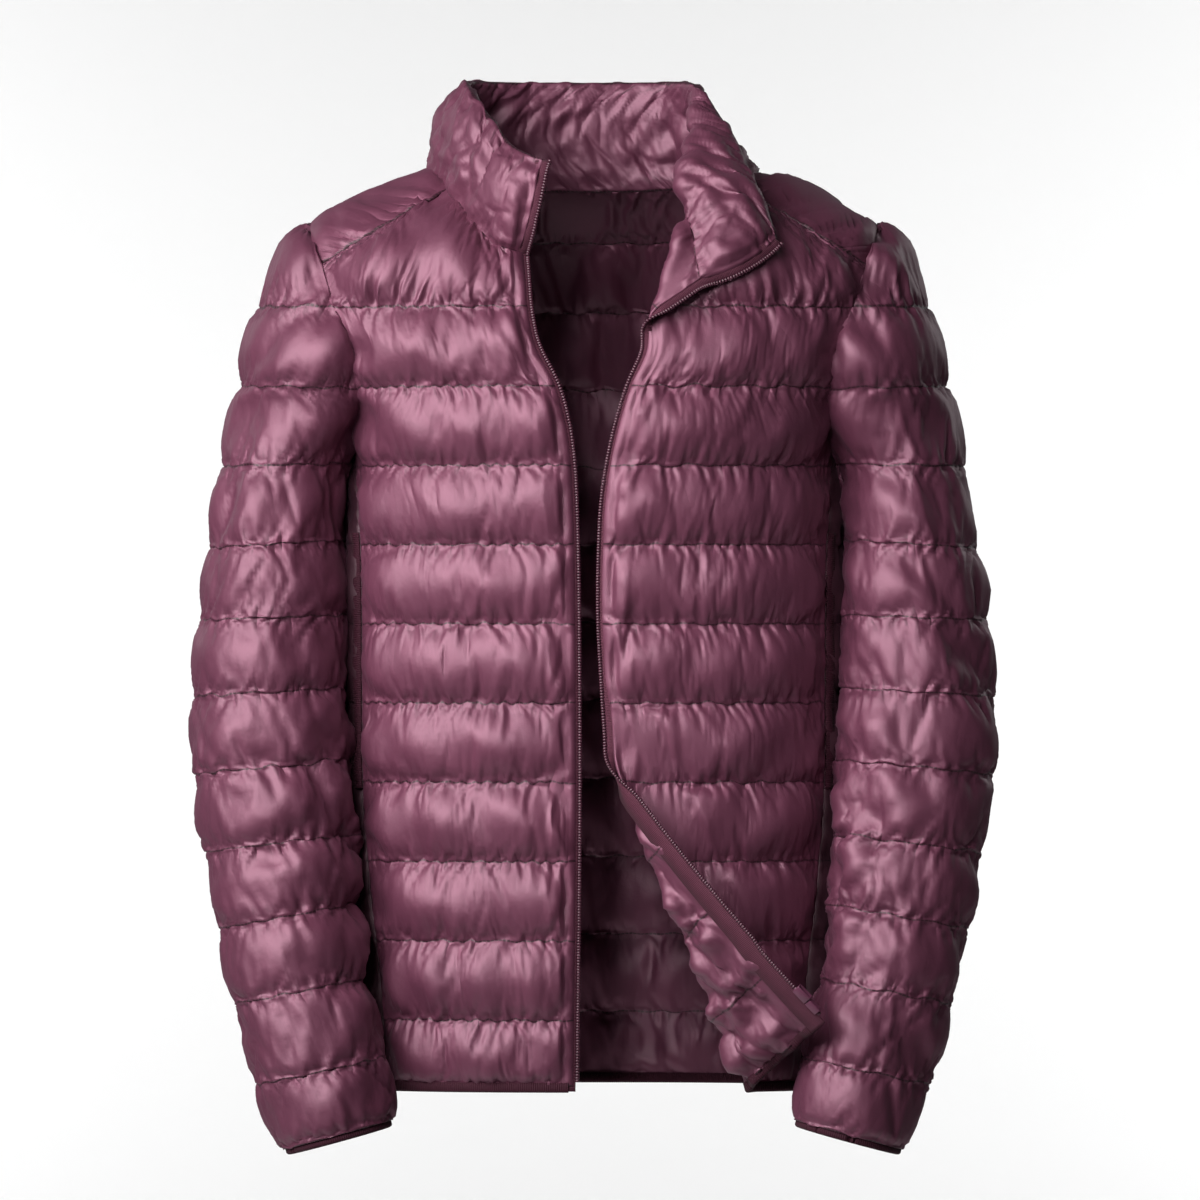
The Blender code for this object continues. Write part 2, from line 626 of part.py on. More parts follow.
def cuff_binding(side, ring, material):
    """Narrow elastic binding round the sleeve end."""
    centre = sum(ring, Vector()) / len(ring)
    down = (ring[0] - centre).cross(ring[3] - centre).normalized()
    if down.z > 0.0:
        down.negate()
    rows = []
    for drop in (0.0006, 0.0022, BINDING_HEIGHT - 0.0016, BINDING_HEIGHT):
        rows.append([p + down * drop for p in ring])
    half = [BINDING_HALF * f for f in (0.6, 1.0, 1.0, 0.6)]
    reach = [[h] * len(ring) for h in half]
    name = "cuff_binding_left" if side > 0 else "cuff_binding_right"
    wall(name, rows, reach, reach, material, wrap_from=0, flip=side < 0)


# ---------------------------------------------------------------- collar
def neck_seam(x, side):
    """Point of the neck seam at x, on the front or the back of the body."""
    if side < 0:
        tops = TOP_LEFT if x > 0 else TOP_RIGHT
        z = next(z_top for x_top, z_top, _ in tops if x_top == x)
        point = body_point(x, z, -1)
        return left_front(point) if x > 0 else point
    z = dict(BACK_NECK).get(abs(x), 0.0)
    return body_point(x, z, 1)


def collar(material):
    """Stand collar in one piece; its left end is turned back with the front."""
    columns = []
    for x, side, middle, top in COLLAR:
        low, mid, high = neck_seam(x, side), Vector(middle), Vector(top)
        control = mid * 2.0 - (low + high) * 0.5
        line = []
        for k in range(7):
            t = 1.0 - k / 6.0
            line.append(low * (1 - t) ** 2 + control * (2 * t * (1 - t)) + high * t ** 2)
        columns.append(line)
    rows = [list(row) for row in zip(*columns)]
    pull_back(rows, bottom=COLLAR_LIFT, first=SEAM, last=SEAM)
    rise = [0.1, 0.7, 0.9, 1.0, 0.9, 0.5, -1.0]
    ends, roll = [0.0, 0.0, 0.6], [0.35] * 6
    middle = [1.0] * (len(columns) - 6 - len(roll))
    t_out, t_in = fullness(rise, ends + middle + roll + ends[::-1], 0.9)
    wall("collar", rows, t_out, t_in, material)
    return rows


# ---------------------------------------------------------------- edges
def strip_along(name, points, across, normals, section, material):
    """Closed strip: the section's (across, out) corners carried along the points."""
    verts, faces = [], []
    count = len(section)
    for point, side_way, normal in zip(points, across, normals):
        for a, n in section:
            verts.append(point + side_way * a + normal * n)
    for r in range(len(points) - 1):
        for k in range(count):
            a, b = r * count + k, r * count + (k + 1) % count
            faces.append((a, b, b + count, a + count))
    faces.append(tuple(range(count - 1, -1, -1)))
    end = (len(points) - 1) * count
    faces.append(tuple(end + k for k in range(count)))
    obj = finish(name, verts, faces, material)
    return obj


def hem_binding(fronts, sides, back, material):
    """Elastic binding under the hem, from one front edge round to the other."""
    path, drops = [], []

    def add(row_last, row_before, order):
        for c in order:
            way = (row_last[c] - row_before[c]).normalized()
            path.append(row_last[c].copy())
            drops.append(way)

    right, left = fronts
    side_right, side_left = sides
    add(right[-1], right[-2], range(len(right[-1]) - 1))
    add(side_right[-1], side_right[-2], range(1, 4))
    add(back[-1], back[-2], range(1, len(back[-1]) - 1))
    add(side_left[-1], side_left[-2], range(3, 0, -1))
    add(left[-1], left[-2], range(len(left[-1]) - 2, -1, -1))
    normals = []
    for k, drop in enumerate(drops):
        ahead = path[min(k + 1, len(path) - 1)] - path[max(k - 1, 0)]
        normals.append(ahead.cross(drop).normalized())
    half = BINDING_HALF
    section = [(0.0007, -half * 0.6), (0.0025, -half), (BINDING_HEIGHT - 0.002, -half),
               (BINDING_HEIGHT, 0.0), (BINDING_HEIGHT - 0.002, half), (0.0025, half),
               (0.0007, half * 0.6)]
    strip_along("hem_binding", path, drops, normals, section, material)


def edge_path(front, collar_rows, side):
    """Free edge of a front and its collar end, from hem to collar top."""
    column = -1 if side > 0 else 0
    path, across, normals = [], [], []
    grid_n = grid_normals(front)
    sign = -1.0 if side > 0 else 1.0
    for r in range(len(front) - 1, -1, -1):
        path.append(front[r][0])
        across.append((front[r][0] - front[r][1]).normalized())
        normals.append(grid_n[r][0] * sign)
    collar_n = grid_normals(collar_rows)
    inner = -2 if side > 0 else 1
    for r in range(len(collar_rows) - 1, -1, -1):
        path.append(collar_rows[r][column])
        across.append((collar_rows[r][column] - collar_rows[r][inner]).normalized())
        normals.append(collar_n[r][column])
    square = []
    for k, (way, normal) in enumerate(zip(across, normals)):
        along = path[min(k + 1, len(path) - 1)] - path[max(k - 1, 0)]
        level = way.cross(along).normalized()
        square.append(level if level.dot(normal) > 0.0 else -level)
    return path, across, square


def zip_half(side, front, collar_rows, tape_material, coil_material):
    """Zip tape sewn inside the free edge, and its row of teeth as a plain bar."""
    path, across, normals = edge_path(front, collar_rows, side)
    name = "left" if side > 0 else "right"
    inside = -(SHELL + TAPE_LIFT + TAPE_HALF + (ROLLED_LIFT if side > 0 else 0.0))
    tape = [(-TAPE_INNER, inside - TAPE_HALF), (TAPE_OUTER, inside - TAPE_HALF),
            (TAPE_OUTER, inside + TAPE_HALF), (-TAPE_INNER, inside + TAPE_HALF)]
    if side < 0:
        tape.reverse()
    strip_along("zip_tape_" + name, path, across, normals, tape, tape_material)
    centre = TAPE_OUTER + 0.0003 + COIL_HALF_WIDTH
    w, t = COIL_HALF_WIDTH, COIL_HALF_THICK
    coil = [(centre - w, inside - t * 0.5), (centre - w * 0.4, inside - t),
            (centre + w, inside - t * 0.5), (centre + w, inside + t * 0.5),
            (centre - w * 0.4, inside + t), (centre - w, inside + t * 0.5)]
    if side < 0:
        coil.reverse()
    strip_along("zip_teeth_" + name, path[2:], across[2:], normals[2:], coil, coil_material)
    return path, across, normals, inside


def block(name, centre, across, along, normal, half_sizes, material, bevel=0.0006):
    """Small moulded block set along the zip."""
    a, b, c = half_sizes
    verts = []
    for sx in (-1, 1):
        for sy in (-1, 1):
            for sz in (-1, 1):
                verts.append(centre + across * (a * sx) + along * (b * sy) + normal * (c * sz))
    faces = [(0, 1, 3, 2), (4, 6, 7, 5), (0, 4, 5, 1), (2, 3, 7, 6), (0, 2, 6, 4), (1, 5, 7, 3)]
    if across.cross(along).dot(normal) < 0.0:
        faces = [tuple(reversed(face)) for face in faces]
    obj = finish(name, verts, faces, material)
    modifier = obj.modifiers.new("edges", "BEVEL")
    modifier.width = bevel
    modifier.segments = 1
    return obj


def zip_ends(right_edge, left_edge, material):
    """Insertion pin on the right half; retainer box and slider on the left half."""
    path, across, normals, inside = right_edge
    along = (path[1] - path[0]).normalized()
    centre = TAPE_OUTER + 0.0004 + COIL_HALF_WIDTH
    start = path[0] + across[0] * centre + normals[0] * inside
    reach = (path[2] - path[0]).length - 0.0008
    block("zip_pin", start + along * (reach * 0.5), across[0], along, normals[0],
          (0.0015, reach * 0.5, 0.0012), material)
    path, across, normals, inside = left_edge
    along = (path[1] - path[0]).normalized()
    start = path[0] + across[0] * (centre + 0.0014) + normals[0] * inside
    block("zip_box", start + along * 0.0055, across[0], along, normals[0],
          (0.0028, 0.0052, 0.0022), material)
    block("zip_slider", start + along * 0.0178 + across[0] * 0.0010, across[0], along,
          normals[0], (0.0036, 0.0060, 0.0028), material, 0.0012)


# ---------------------------------------------------------------- assembly
for leftover in list(bpy.data.objects):
    bpy.data.objects.remove(leftover, do_unlink=True)

shell = cloth("plum_downproof_nylon", "6E3C50", 0.38)
trim = cloth("plum_elastic_binding", "3E1526", 0.6)
tape = cloth("plum_zip_tape", "5A2E40", 0.75)
teeth = cloth("plum_zip_teeth", "4A2434", 0.45)

right_rows = front_panel(-1, shell)
left_rows = front_panel(1, shell)
back_rows = back_panel(shell)
side_right_rows, side_right_reach = side_panel(-1, shell)
side_left_rows, side_left_reach = side_panel(1, shell)
pocket_welt(-1, side_right_rows, side_right_reach, trim)
pocket_welt(1, side_left_rows, side_left_reach, trim)
collar_rows = collar(shell)
for wearer_side in (-1, 1):
    cuff_binding(wearer_side, sleeve(wearer_side, shell), trim)
hem_binding((right_rows, left_rows), (side_right_rows, side_left_rows), back_rows, trim)
right_zip = zip_half(-1, right_rows, collar_rows, tape, teeth)
left_zip = zip_half(1, left_rows, collar_rows, tape, teeth)
zip_ends(right_zip, left_zip, teeth)
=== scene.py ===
"""Quilted puffer jacket, filled out as if worn, with its front zip open.

Metres, in the row's own frame: +X is the wearer's left, -Y the front, +Z up.
Each section below makes one sewn piece, or a group of like pieces.
"""
import math

import bpy
import numpy as np
from mathutils import Matrix, Vector


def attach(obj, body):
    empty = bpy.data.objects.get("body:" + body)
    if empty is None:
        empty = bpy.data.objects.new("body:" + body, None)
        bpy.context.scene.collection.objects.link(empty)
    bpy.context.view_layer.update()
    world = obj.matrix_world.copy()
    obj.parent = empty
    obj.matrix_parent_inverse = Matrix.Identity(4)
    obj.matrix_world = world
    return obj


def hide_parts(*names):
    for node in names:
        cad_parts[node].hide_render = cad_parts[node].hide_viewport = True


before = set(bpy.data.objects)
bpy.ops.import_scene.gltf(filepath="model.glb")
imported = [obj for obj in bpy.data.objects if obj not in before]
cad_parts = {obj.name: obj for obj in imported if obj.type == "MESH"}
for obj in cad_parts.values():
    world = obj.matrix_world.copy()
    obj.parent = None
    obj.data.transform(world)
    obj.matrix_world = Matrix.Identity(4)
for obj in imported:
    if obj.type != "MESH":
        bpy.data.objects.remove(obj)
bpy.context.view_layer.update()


# ---------------------------------------------------------------- downproof nylon
# The shell and lining are one cloth: a thin plain-woven nylon, dyed plum and
# calendered, so that it shines in soft broad streaks and creases sharply.
def linear(hex_code):
    """A linear colour from an sRGB hex value."""
    channels = []
    for start in (0, 2, 4):
        value = int(hex_code[start:start + 2], 16) / 255.0
        channels.append(value / 12.92 if value <= 0.04045 else ((value + 0.055) / 1.055) ** 2.4)
    return (*channels, 1.0)


def add_node(tree, kind, settings=None, **links):
    """One node with its settings; each link is socket name=socket or value."""
    node = tree.nodes.new(kind)
    for key, value in (settings or {}).items():
        setattr(node, key, value)
    for key, value in links.items():
        socket = node.inputs[int(key[1:])] if key[0] == "_" else node.inputs[key.replace("_", " ")]
        if isinstance(value, bpy.types.NodeSocket):
            tree.links.new(value, socket)
        else:
            socket.default_value = value
    return node


def new_material(name, **constants):
    """A material's tree and its Principled shader with constants on its sockets."""
    material = bpy.data.materials.new(name)
    material.use_nodes = True
    shader = material.node_tree.nodes["Principled BSDF"]
    for key, value in constants.items():
        shader.inputs[key.replace("_", " ")].default_value = value
    return material, material.node_tree, shader


def downproof_nylon(name, deep, light, thread_and_shade, gloss=0.32):
    """Calendered nylon: satin shine in its own colour, puckers and painted shade along each stitched
    row.
    """
    material, tree, shader = new_material(
        name, Roughness=0.56, Metallic=0.46, IOR=1.5, Sheen_Weight=0.06, Sheen_Roughness=0.5,
        Sheen_Tint=linear("C79AB2"), Coat_Weight=gloss, Coat_Roughness=0.44)
    place = add_node(tree, "ShaderNodeTexCoord").outputs["Object"]
    # dye takes a little unevenly where the cloth was pressed
    cloudy = add_node(tree, "ShaderNodeTexNoise", Vector=place, Scale=28.0, Detail=3.0)
    shade = add_node(tree, "ShaderNodeMix", {"data_type": "RGBA"}, _0=cloudy.outputs["Fac"],
                     _6=linear(deep), _7=linear(light))
    # thread along each quilting row, in stitches of 3 mm
    along = add_node(tree, "ShaderNodeAttribute", {"attribute_name": "along"}).outputs["Fac"]
    off_row = add_node(tree, "ShaderNodeAttribute", {"attribute_name": "off_row"}).outputs["Fac"]
    pitch = add_node(tree, "ShaderNodeMath", {"operation": "MULTIPLY"}, _0=along, _1=1.0 / 0.003)
    beat = add_node(tree, "ShaderNodeMath", {"operation": "FRACT"}, _0=pitch.outputs[0])
    dash = add_node(tree, "ShaderNodeMath", {"operation": "LESS_THAN"}, _0=beat.outputs[0], _1=0.7)
    near = add_node(tree, "ShaderNodeMath", {"operation": "LESS_THAN"}, _0=off_row, _1=0.0006)
    stitch = add_node(tree, "ShaderNodeMath", {"operation": "MULTIPLY"},
                      _0=dash.outputs[0], _1=near.outputs[0])
    coloured = add_node(tree, "ShaderNodeMix", {"data_type": "RGBA"}, _0=stitch.outputs[0],
                        _6=shade.outputs[2], _7=linear(thread_and_shade))
    # painted shade: within about a millimetre of each row the colour is mixed up to halfway towards
    # the thread's colour, standing for the shade in the groove
    painted_row_shade = add_node(tree, "ShaderNodeMapRange", {"interpolation_type": "SMOOTHSTEP"},
                      Value=off_row, From_Min=0.0002, From_Max=0.0012, To_Min=0.50, To_Max=0.0)
    sewn = add_node(tree, "ShaderNodeMix", {"data_type": "RGBA"}, _0=painted_row_shade.outputs[0],
                    _6=coloured.outputs[2], _7=linear(thread_and_shade))
    tree.links.new(sewn.outputs[2], shader.inputs["Base Color"])
    # puckers about 7 mm apart, drawn out away from the rows and strongest beside them
    height = add_node(tree, "ShaderNodeSeparateXYZ", Vector=place).outputs["Z"]
    sway = add_node(tree, "ShaderNodeTexNoise", Vector=place, Scale=24.0, Detail=1.0)
    drift = add_node(tree, "ShaderNodeMath", {"operation": "MULTIPLY_ADD"},
                     _0=sway.outputs["Fac"], _1=0.012, _2=along)
    drawn = add_node(tree, "ShaderNodeMath", {"operation": "MULTIPLY"}, _0=height, _1=0.30)
    cloth = add_node(tree, "ShaderNodeCombineXYZ", X=drift.outputs[0], Y=drawn.outputs[0])
    pucker = add_node(tree, "ShaderNodeTexNoise", {"noise_type": "RIDGED_MULTIFRACTAL"},
                      Vector=cloth.outputs[0], Scale=95.0, Detail=2.0, Roughness=0.55, Offset=0.9)
    share = add_node(tree, "ShaderNodeMapRange", {"interpolation_type": "SMOOTHSTEP"},
                     Value=off_row, From_Min=0.0, From_Max=0.013, To_Min=1.0, To_Max=0.12)
    drawn_in = add_node(tree, "ShaderNodeMath", {"operation": "MULTIPLY"},
                        _0=pucker.outputs["Fac"], _1=share.outputs[0])
    bump = add_node(tree, "ShaderNodeBump", {"invert": True}, Strength=0.85, Distance=0.0012,
                    Height=drawn_in.outputs[0])
    # crumples 4 mm across, and the weave
    crumple = add_node(tree, "ShaderNodeTexNoise", Vector=place, Scale=170.0, Detail=3.0)
    soft = add_node(tree, "ShaderNodeBump", Strength=0.22, Distance=0.0012,
                    Height=crumple.outputs["Fac"], Normal=bump.outputs[0])
    weave = add_node(tree, "ShaderNodeTexNoise", Vector=place, Scale=1400.0, Detail=1.0)
    fine = add_node(tree, "ShaderNodeBump", Strength=0.08, Distance=0.0002,
                    Height=weave.outputs["Fac"], Normal=soft.outputs[0])
    tree.links.new(fine.outputs[0], shader.inputs["Normal"])
    return material


shell_nylon = downproof_nylon("plum_downproof_nylon", "5A2A3F", "683349", "2E0B19")


# ---------------------------------------------------------------- fronts
# Two fronts of quilted nylon, cut from the neck and yoke seams to the hem and
# sewn through in level rows; the wearer's left one turns two corners back.
ROW_TOP = -0.104        # first quilting row
ROW_PITCH = 0.0583      # height of a quilted channel
ROW_COUNT = 10
HEM = -0.6770           # lower edge of the quilted panels
ROUNDNESS = 2.4         # exponent of the body's oval section
HALF_DEPTH = 0.135
SHOULDER_TOP = 0.002
UNDERARM = -0.205
CHANNEL_STEPS = 16      # mesh rows in a channel

# height, half width of the body there
BODY_WIDTH = [
    (0.002, 0.118), (0.0, 0.121), (-0.0244, 0.168), (-0.037, 0.201),
    (-0.0444, 0.2128), (-0.060, 0.222), (-0.100, 0.226), (-0.137, 0.215),
    (-0.170, 0.195), (-0.205, 0.177), (-0.260, 0.183), (-0.300, 0.187),
    (-0.450, 0.187), (-0.600, 0.183), (-0.690, 0.177),
]
# height, half width at the armhole or side seam: front panel, back panel
SIDE_SEAM = [
    (-0.0444, 0.2126, 0.2126), (-0.0570, 0.2085, 0.2105), (-0.0733, 0.2031, 0.2065),
    (-0.1014, 0.1945, 0.2010), (-0.137, 0.1795, 0.1920), (-0.170, 0.1765, 0.1840),
    (-0.205, 0.1760, 0.1762), (-0.245, 0.1735, 0.1740), (-0.300, 0.1705, 0.1715),
    (-0.450, 0.1695, 0.1700), (-0.540, 0.1630, 0.1680), (-0.600, 0.1560, 0.1650),
    (-0.690, 0.1505, 0.1600),
]
# height, free edge of the wearer's right front, and of the left one laid flat
FRONT_EDGE = [
    (-0.064, -0.0545, 0.0200), (-0.083, -0.0535, 0.0250), (-0.127, -0.0475, 0.0430),
    (-0.164, -0.0304, 0.0300), (-0.211, -0.0200, 0.0170), (-0.260, -0.0175, 0.0105),
    (-0.320, -0.0163, 0.0090), (-0.396, -0.0158, 0.0125), (-0.440, -0.0156, 0.0150),
    (-0.690, -0.0178, 0.0140),
]
# top edge of each front: x, z, share of the way from free edge to side seam,
# and mesh columns from there to the next
TOP_RIGHT = [
    (-0.0545, -0.0636, 0.00, 6), (-0.0640, -0.0622, 0.06, 10), (-0.0740, -0.0560, 0.17, 10),
    (-0.0840, -0.0465, 0.29, 10), (-0.0960, -0.0310, 0.41, 10), (-0.1080, -0.0150, 0.53, 13),
    (-0.1400, -0.0346, 0.68, 14), (-0.1750, -0.0560, 0.85, 13), (-0.2031, -0.0733, 1.00, 0),
]
TOP_LEFT = [
    (0.0215, -0.0690, 0.00, 6), (0.0310, -0.0610, 0.06, 6), (0.0410, -0.0520, 0.12, 6),
    (0.0510, -0.0440, 0.18, 6), (0.0610, -0.0370, 0.24, 6), (0.0720, -0.0305, 0.31, 8),
    (0.0840, -0.0255, 0.39, 8), (0.0960, -0.0205, 0.47, 8), (0.1080, -0.0150, 0.56, 11),
    (0.1400, -0.0346, 0.70, 13), (0.1750, -0.0560, 0.85, 13), (0.2031, -0.0733, 1.00, 0),
]
# fold line start x z, end x z, roll radius at start and end, turn in degrees
LAPEL_FOLD = ((0.0390, -0.1330), (0.0840, -0.0120), 0.0045, 0.0065, 171.0)
CORNER_FOLD = ((0.0165, -0.4250), (0.1180, -0.6730), 0.0060, 0.0130, 136.0)


def reading(rows, z, column=1):
    """Smooth reading of a table whose first column is a falling height."""
    x = -np.array([row[0] for row in rows])
    y = np.array([row[column] for row in rows])
    h, d = np.diff(x), np.diff(y) / np.diff(x)
    slope = np.zeros_like(y)
    turn = d[:-1] * d[1:] > 0
    w1, w2 = 2 * h[1:] + h[:-1], h[1:] + 2 * h[:-1]
    safe = np.where(turn, d[:-1] * d[1:], 1.0)
    slope[1:-1] = np.where(turn, (w1 + w2) * safe / (w1 * d[1:] + w2 * d[:-1] + (~turn)), 0.0)
    slope[0], slope[-1] = d[0], d[-1]
    t = np.clip(-np.asarray(z, float), x[0], x[-1])
    k = np.clip(np.searchsorted(x, t, side="right") - 1, 0, len(h) - 1)
    s = (t - x[k]) / h[k]
    return ((2 * s ** 3 - 3 * s ** 2 + 1) * y[k] + (s ** 3 - 2 * s ** 2 + s) * h[k] * slope[k]
            + (3 * s ** 2 - 2 * s ** 3) * y[k + 1] + (s ** 3 - s ** 2) * h[k] * slope[k + 1])


def half_depth(z):
    """Half depth of the body: full below the underarm, rounding in above it."""
    z = np.asarray(z, float)
    share = np.clip((z + 0.20) / (SHOULDER_TOP + 0.20), 0.0, 1.0)
    return np.where(z <= -0.20, HALF_DEPTH - 0.06 * np.maximum(0.0, -0.58 - z),
                    HALF_DEPTH * np.sqrt(1.0 - share * share))


def body_point(x, z, side):
    """Points of the body's mid surface at x and z; side -1 is front, 1 is back."""
    x, z = np.broadcast_arrays(np.asarray(x, float), np.asarray(z, float))
    reach = np.minimum(1.0, np.abs(x) / reading(BODY_WIDTH, z)) ** ROUNDNESS
    depth = half_depth(z) * (1.0 - reach) ** (1.0 / ROUNDNESS)
    return np.stack([x, side * depth, z], -1)


def body_turn(z, turn):
    """Points of the oval section at z; turn 0 is the left side, -90 degrees the front."""
    c, s = np.cos(turn), np.sin(turn)
    power = 2.0 / ROUNDNESS
    x = reading(BODY_WIDTH, z) * np.sign(c) * np.abs(c) ** power
    y = half_depth(z) * np.sign(s) * np.abs(s) ** power
    return np.stack([x, y, np.broadcast_to(z, x.shape)], -1)


def turn_of(x, z, side):
    """The turn at which the oval section at z passes x."""
    share = np.clip(x / reading(BODY_WIDTH, z), -1.0, 1.0)
    return side * np.arccos(np.sign(share) * np.abs(share) ** (ROUNDNESS / 2.0))


def unit(v):
    return v / np.maximum(np.linalg.norm(v, axis=-1, keepdims=True), 1e-12)


def between(points, at, axis):
    """Smooth in-between rows (axis 0) or columns (axis 1) of a coarse grid."""
    a = np.moveaxis(np.asarray(points, float), axis, 0)
    a = np.concatenate([2 * a[:1] - a[1:2], a, 2 * a[-1:] - a[-2:-1]])
    k = np.clip(np.floor(at).astype(int), 0, len(a) - 4)
    s = (np.asarray(at) - k).reshape(-1, *[1] * (a.ndim - 1))
    p, q, r, t = a[k], a[k + 1], a[k + 2], a[k + 3]
    out = q + 0.5 * s * (r - p + s * (2 * p - 5 * q + 4 * r - t + s * (3 * (q - r) + t - p)))
    return np.moveaxis(out, 0, axis)


def stations(steps):
    """Fractional indices with the given number of mesh steps in each interval."""
    at = [k + j / n for k, n in enumerate(steps) for j in range(n)]
    return np.array(at + [float(len(steps))])


def turned(p, fold):
    """Points of the left front after its corner beyond the fold is turned back."""
    (x0, z0), (x1, z1), radius0, radius1, degrees = fold
    length = math.hypot(x1 - x0, z1 - z0)
    dx, dz = (x1 - x0) / length, (z1 - z0) / length
    along = (p[..., 0] - x0) * dx + (p[..., 2] - z0) * dz
    side = -1.0 if dz > 0 else 1.0
    beyond = -side * (-(p[..., 0] - x0) * dz + (p[..., 2] - z0) * dx)
    bx, bz = x0 + dx * along, z0 + dz * along
    base = body_point(bx, bz, -1)
    ahead = body_point(bx + dx * 0.002, bz + dz * 0.002, -1) - base
    across = body_point(bx - 0.002, bz, -1) - base
    normal = unit(np.cross(across, ahead))
    normal = np.where(normal[..., 1:2] > 0, -normal, normal)
    away = unit(np.cross(ahead, normal))
    away = np.where(away[..., 0:1] > 0, -away, away)
    radius = radius0 + (radius1 - radius0) * np.clip(along / length, 0.0, 1.0)
    angle = np.minimum(np.maximum(beyond, 0.0) / radius, math.radians(degrees))
    rest = np.maximum(beyond, 0.0) - angle * radius
    c, s = np.cos(angle)[..., None], np.sin(angle)[..., None]
    radius, rest = radius[..., None], rest[..., None]
    out = base + away * radius * s + normal * radius * (1.0 - c) + (away * c + normal * s) * rest
    return np.where(beyond[..., None] > 0, out, p)


def past(p, fold):
    """How far a point of the flat cloth lies beyond a fold line, on the turned side."""
    (x0, z0), (x1, z1) = fold[:2]
    length = math.hypot(x1 - x0, z1 - z0)
    side = -1.0 if z1 > z0 else 1.0
    return -side * (-(p[..., 0] - x0) * (z1 - z0) + (p[..., 2] - z0) * (x1 - x0)) / length


def rolled(p, fold, spread):
    """1 where the cloth is rolled by a fold and pressed thin, 0 away from it."""
    (x0, z0), (x1, z1), radius0, radius1, degrees = fold
    length = math.hypot(x1 - x0, z1 - z0)
    dx, dz = (x1 - x0) / length, (z1 - z0) / length
    along = (p[..., 0] - x0) * dx + (p[..., 2] - z0) * dz
    across = np.abs((p[..., 0] - x0) * dz - (p[..., 2] - z0) * dx)
    near = np.clip(spread - across / (max(radius0, radius1) * math.radians(degrees)), 0.0, 1.0)
    return np.where((along < -0.02) | (along > length + 0.02), 0.0, near)


def channel_levels():
    """Heights of two mesh rows a channel, from the first quilting row to the hem."""
    lines = [ROW_TOP - ROW_PITCH * k for k in range(ROW_COUNT)] + [HEM]
    levels = [lines[0]]
    for upper, lower in zip(lines, lines[1:]):
        levels += [(upper + lower) / 2.0, lower]
    return levels


FRONT_STITCHED = [0] + list(range(3, 24, 2))    # coarse rows of a front that are stitched


def front_sheet(side):
    """Smooth mid surface of a front laid flat, its row and column stations."""
    top = TOP_LEFT if side > 0 else TOP_RIGHT
    shares = np.array([row[2] for row in top])

    def level(z):
        edge = reading(FRONT_EDGE, z, 2 if side > 0 else 1)
        start = turn_of(edge, z, -1)
        end = turn_of(side * reading(SIDE_SEAM, z), z, -1)
        return body_turn(z, start + (end - start) * shares)

    head = np.array([(row[0], row[1]) for row in top])
    foot = level(ROW_TOP)
    coarse = []
    for step in range(3):
        x = head[:, 0] + (foot[:, 0] - head[:, 0]) * step / 3.0
        z = head[:, 1] + (foot[:, 2] - head[:, 1]) * step / 3.0
        gap = side * reading(SIDE_SEAM, z[-1]) - x[-1]
        coarse.append(body_point(x + gap * shares ** 6, z, -1))
    coarse += [level(z) for z in channel_levels()]
    rows = stations([8] * 3 + [CHANNEL_STEPS // 2] * (len(coarse) - 4))
    rows = closer(rows, FRONT_STITCHED)
    cols = stations([int(1.7 * row[3]) for row in top[:-1]])
    return between(between(coarse, rows, 0), cols, 1), rows


def spans(at, stitched):
    """Place within its channel, 0 to 1, and channel number of each row station."""
    marks = np.array(stitched, float)
    k = np.clip(np.searchsorted(marks, at, side="right") - 1, 0, len(marks) - 2)
    return (at - marks[k]) / (marks[k + 1] - marks[k]), k


def channel_grid(row_at, stitched, mid):
    """Place within its channel and channel number of every point of a sheet."""
    phase, channel = spans(row_at, stitched)
    grid = np.ones(mid.shape[:2])
    return grid * phase[:, None], channel[:, None] * grid.astype(int)


def closer(at, stitched):
    """Row stations drawn closer together beside the rows of stitches."""
    marks = np.array(stitched, float)
    t, k = spans(at, stitched)
    return marks[k] + (marks[k + 1] - marks[k]) * (t - 0.68 * np.sin(2 * np.pi * t) / (2 * np.pi))


def grid_faces(rows, cols, wrap_from=None, seam_cols=0):
    """Quads of a grid; from row wrap_from on its columns are joined into a tube.

    The last seam_cols columns are there only in the tube's rows.
    """
    faces = []
    for r in range(rows - 1):
        tube = wrap_from is not None and r >= wrap_from
        last = cols if tube else cols - 1 - seam_cols
        for c in range(last):
            e = (c + 1) % cols
            faces.append((r * cols + c, (r + 1) * cols + c, (r + 1) * cols + e, r * cols + e))
    return np.array(faces)


def face_normals(points, faces):
    """Vertex normals of a quad surface."""
    p = points.reshape(-1, 3)
    n = np.cross(p[faces[:, 2]] - p[faces[:, 0]], p[faces[:, 3]] - p[faces[:, 1]])
    out = np.zeros_like(p)
    for k in range(4):
        np.add.at(out, faces[:, k], n)
    return unit(out).reshape(points.shape)


def facing_out(points, faces, centre):
    """The faces, turned over if most of them look towards the centre line."""
    away = points - np.asarray(centre)
    away[..., 2] = 0.0
    inward = (face_normals(points, faces) * away).sum() < 0
    return faces[:, ::-1] if inward else faces


def seam_rise(distance, width):
    """Rounded rise of the filling beside a seam, 0 on it and 1 past width."""
    near = np.clip(distance / width, 0.0, 1.0)
    return np.sqrt(1.0 - (1.0 - near) ** 2)


def gentle_rise(distance, width):
    """Gentler rise of the filling beside a long seam."""
    return np.sin(np.clip(distance / width, 0.0, 1.0) * math.pi / 2.0)


def bound_edge(mid):
    """0 where the last rows of a sheet go into a folded binding, 1 above it."""
    step = np.linalg.norm(np.diff(mid, axis=0), axis=-1)[::-1]
    up = np.concatenate([np.zeros((1, mid.shape[1])), np.cumsum(step, 0)])[::-1]
    return np.sqrt(np.clip((up - 0.0026) / 0.006, 0.0, 1.0))


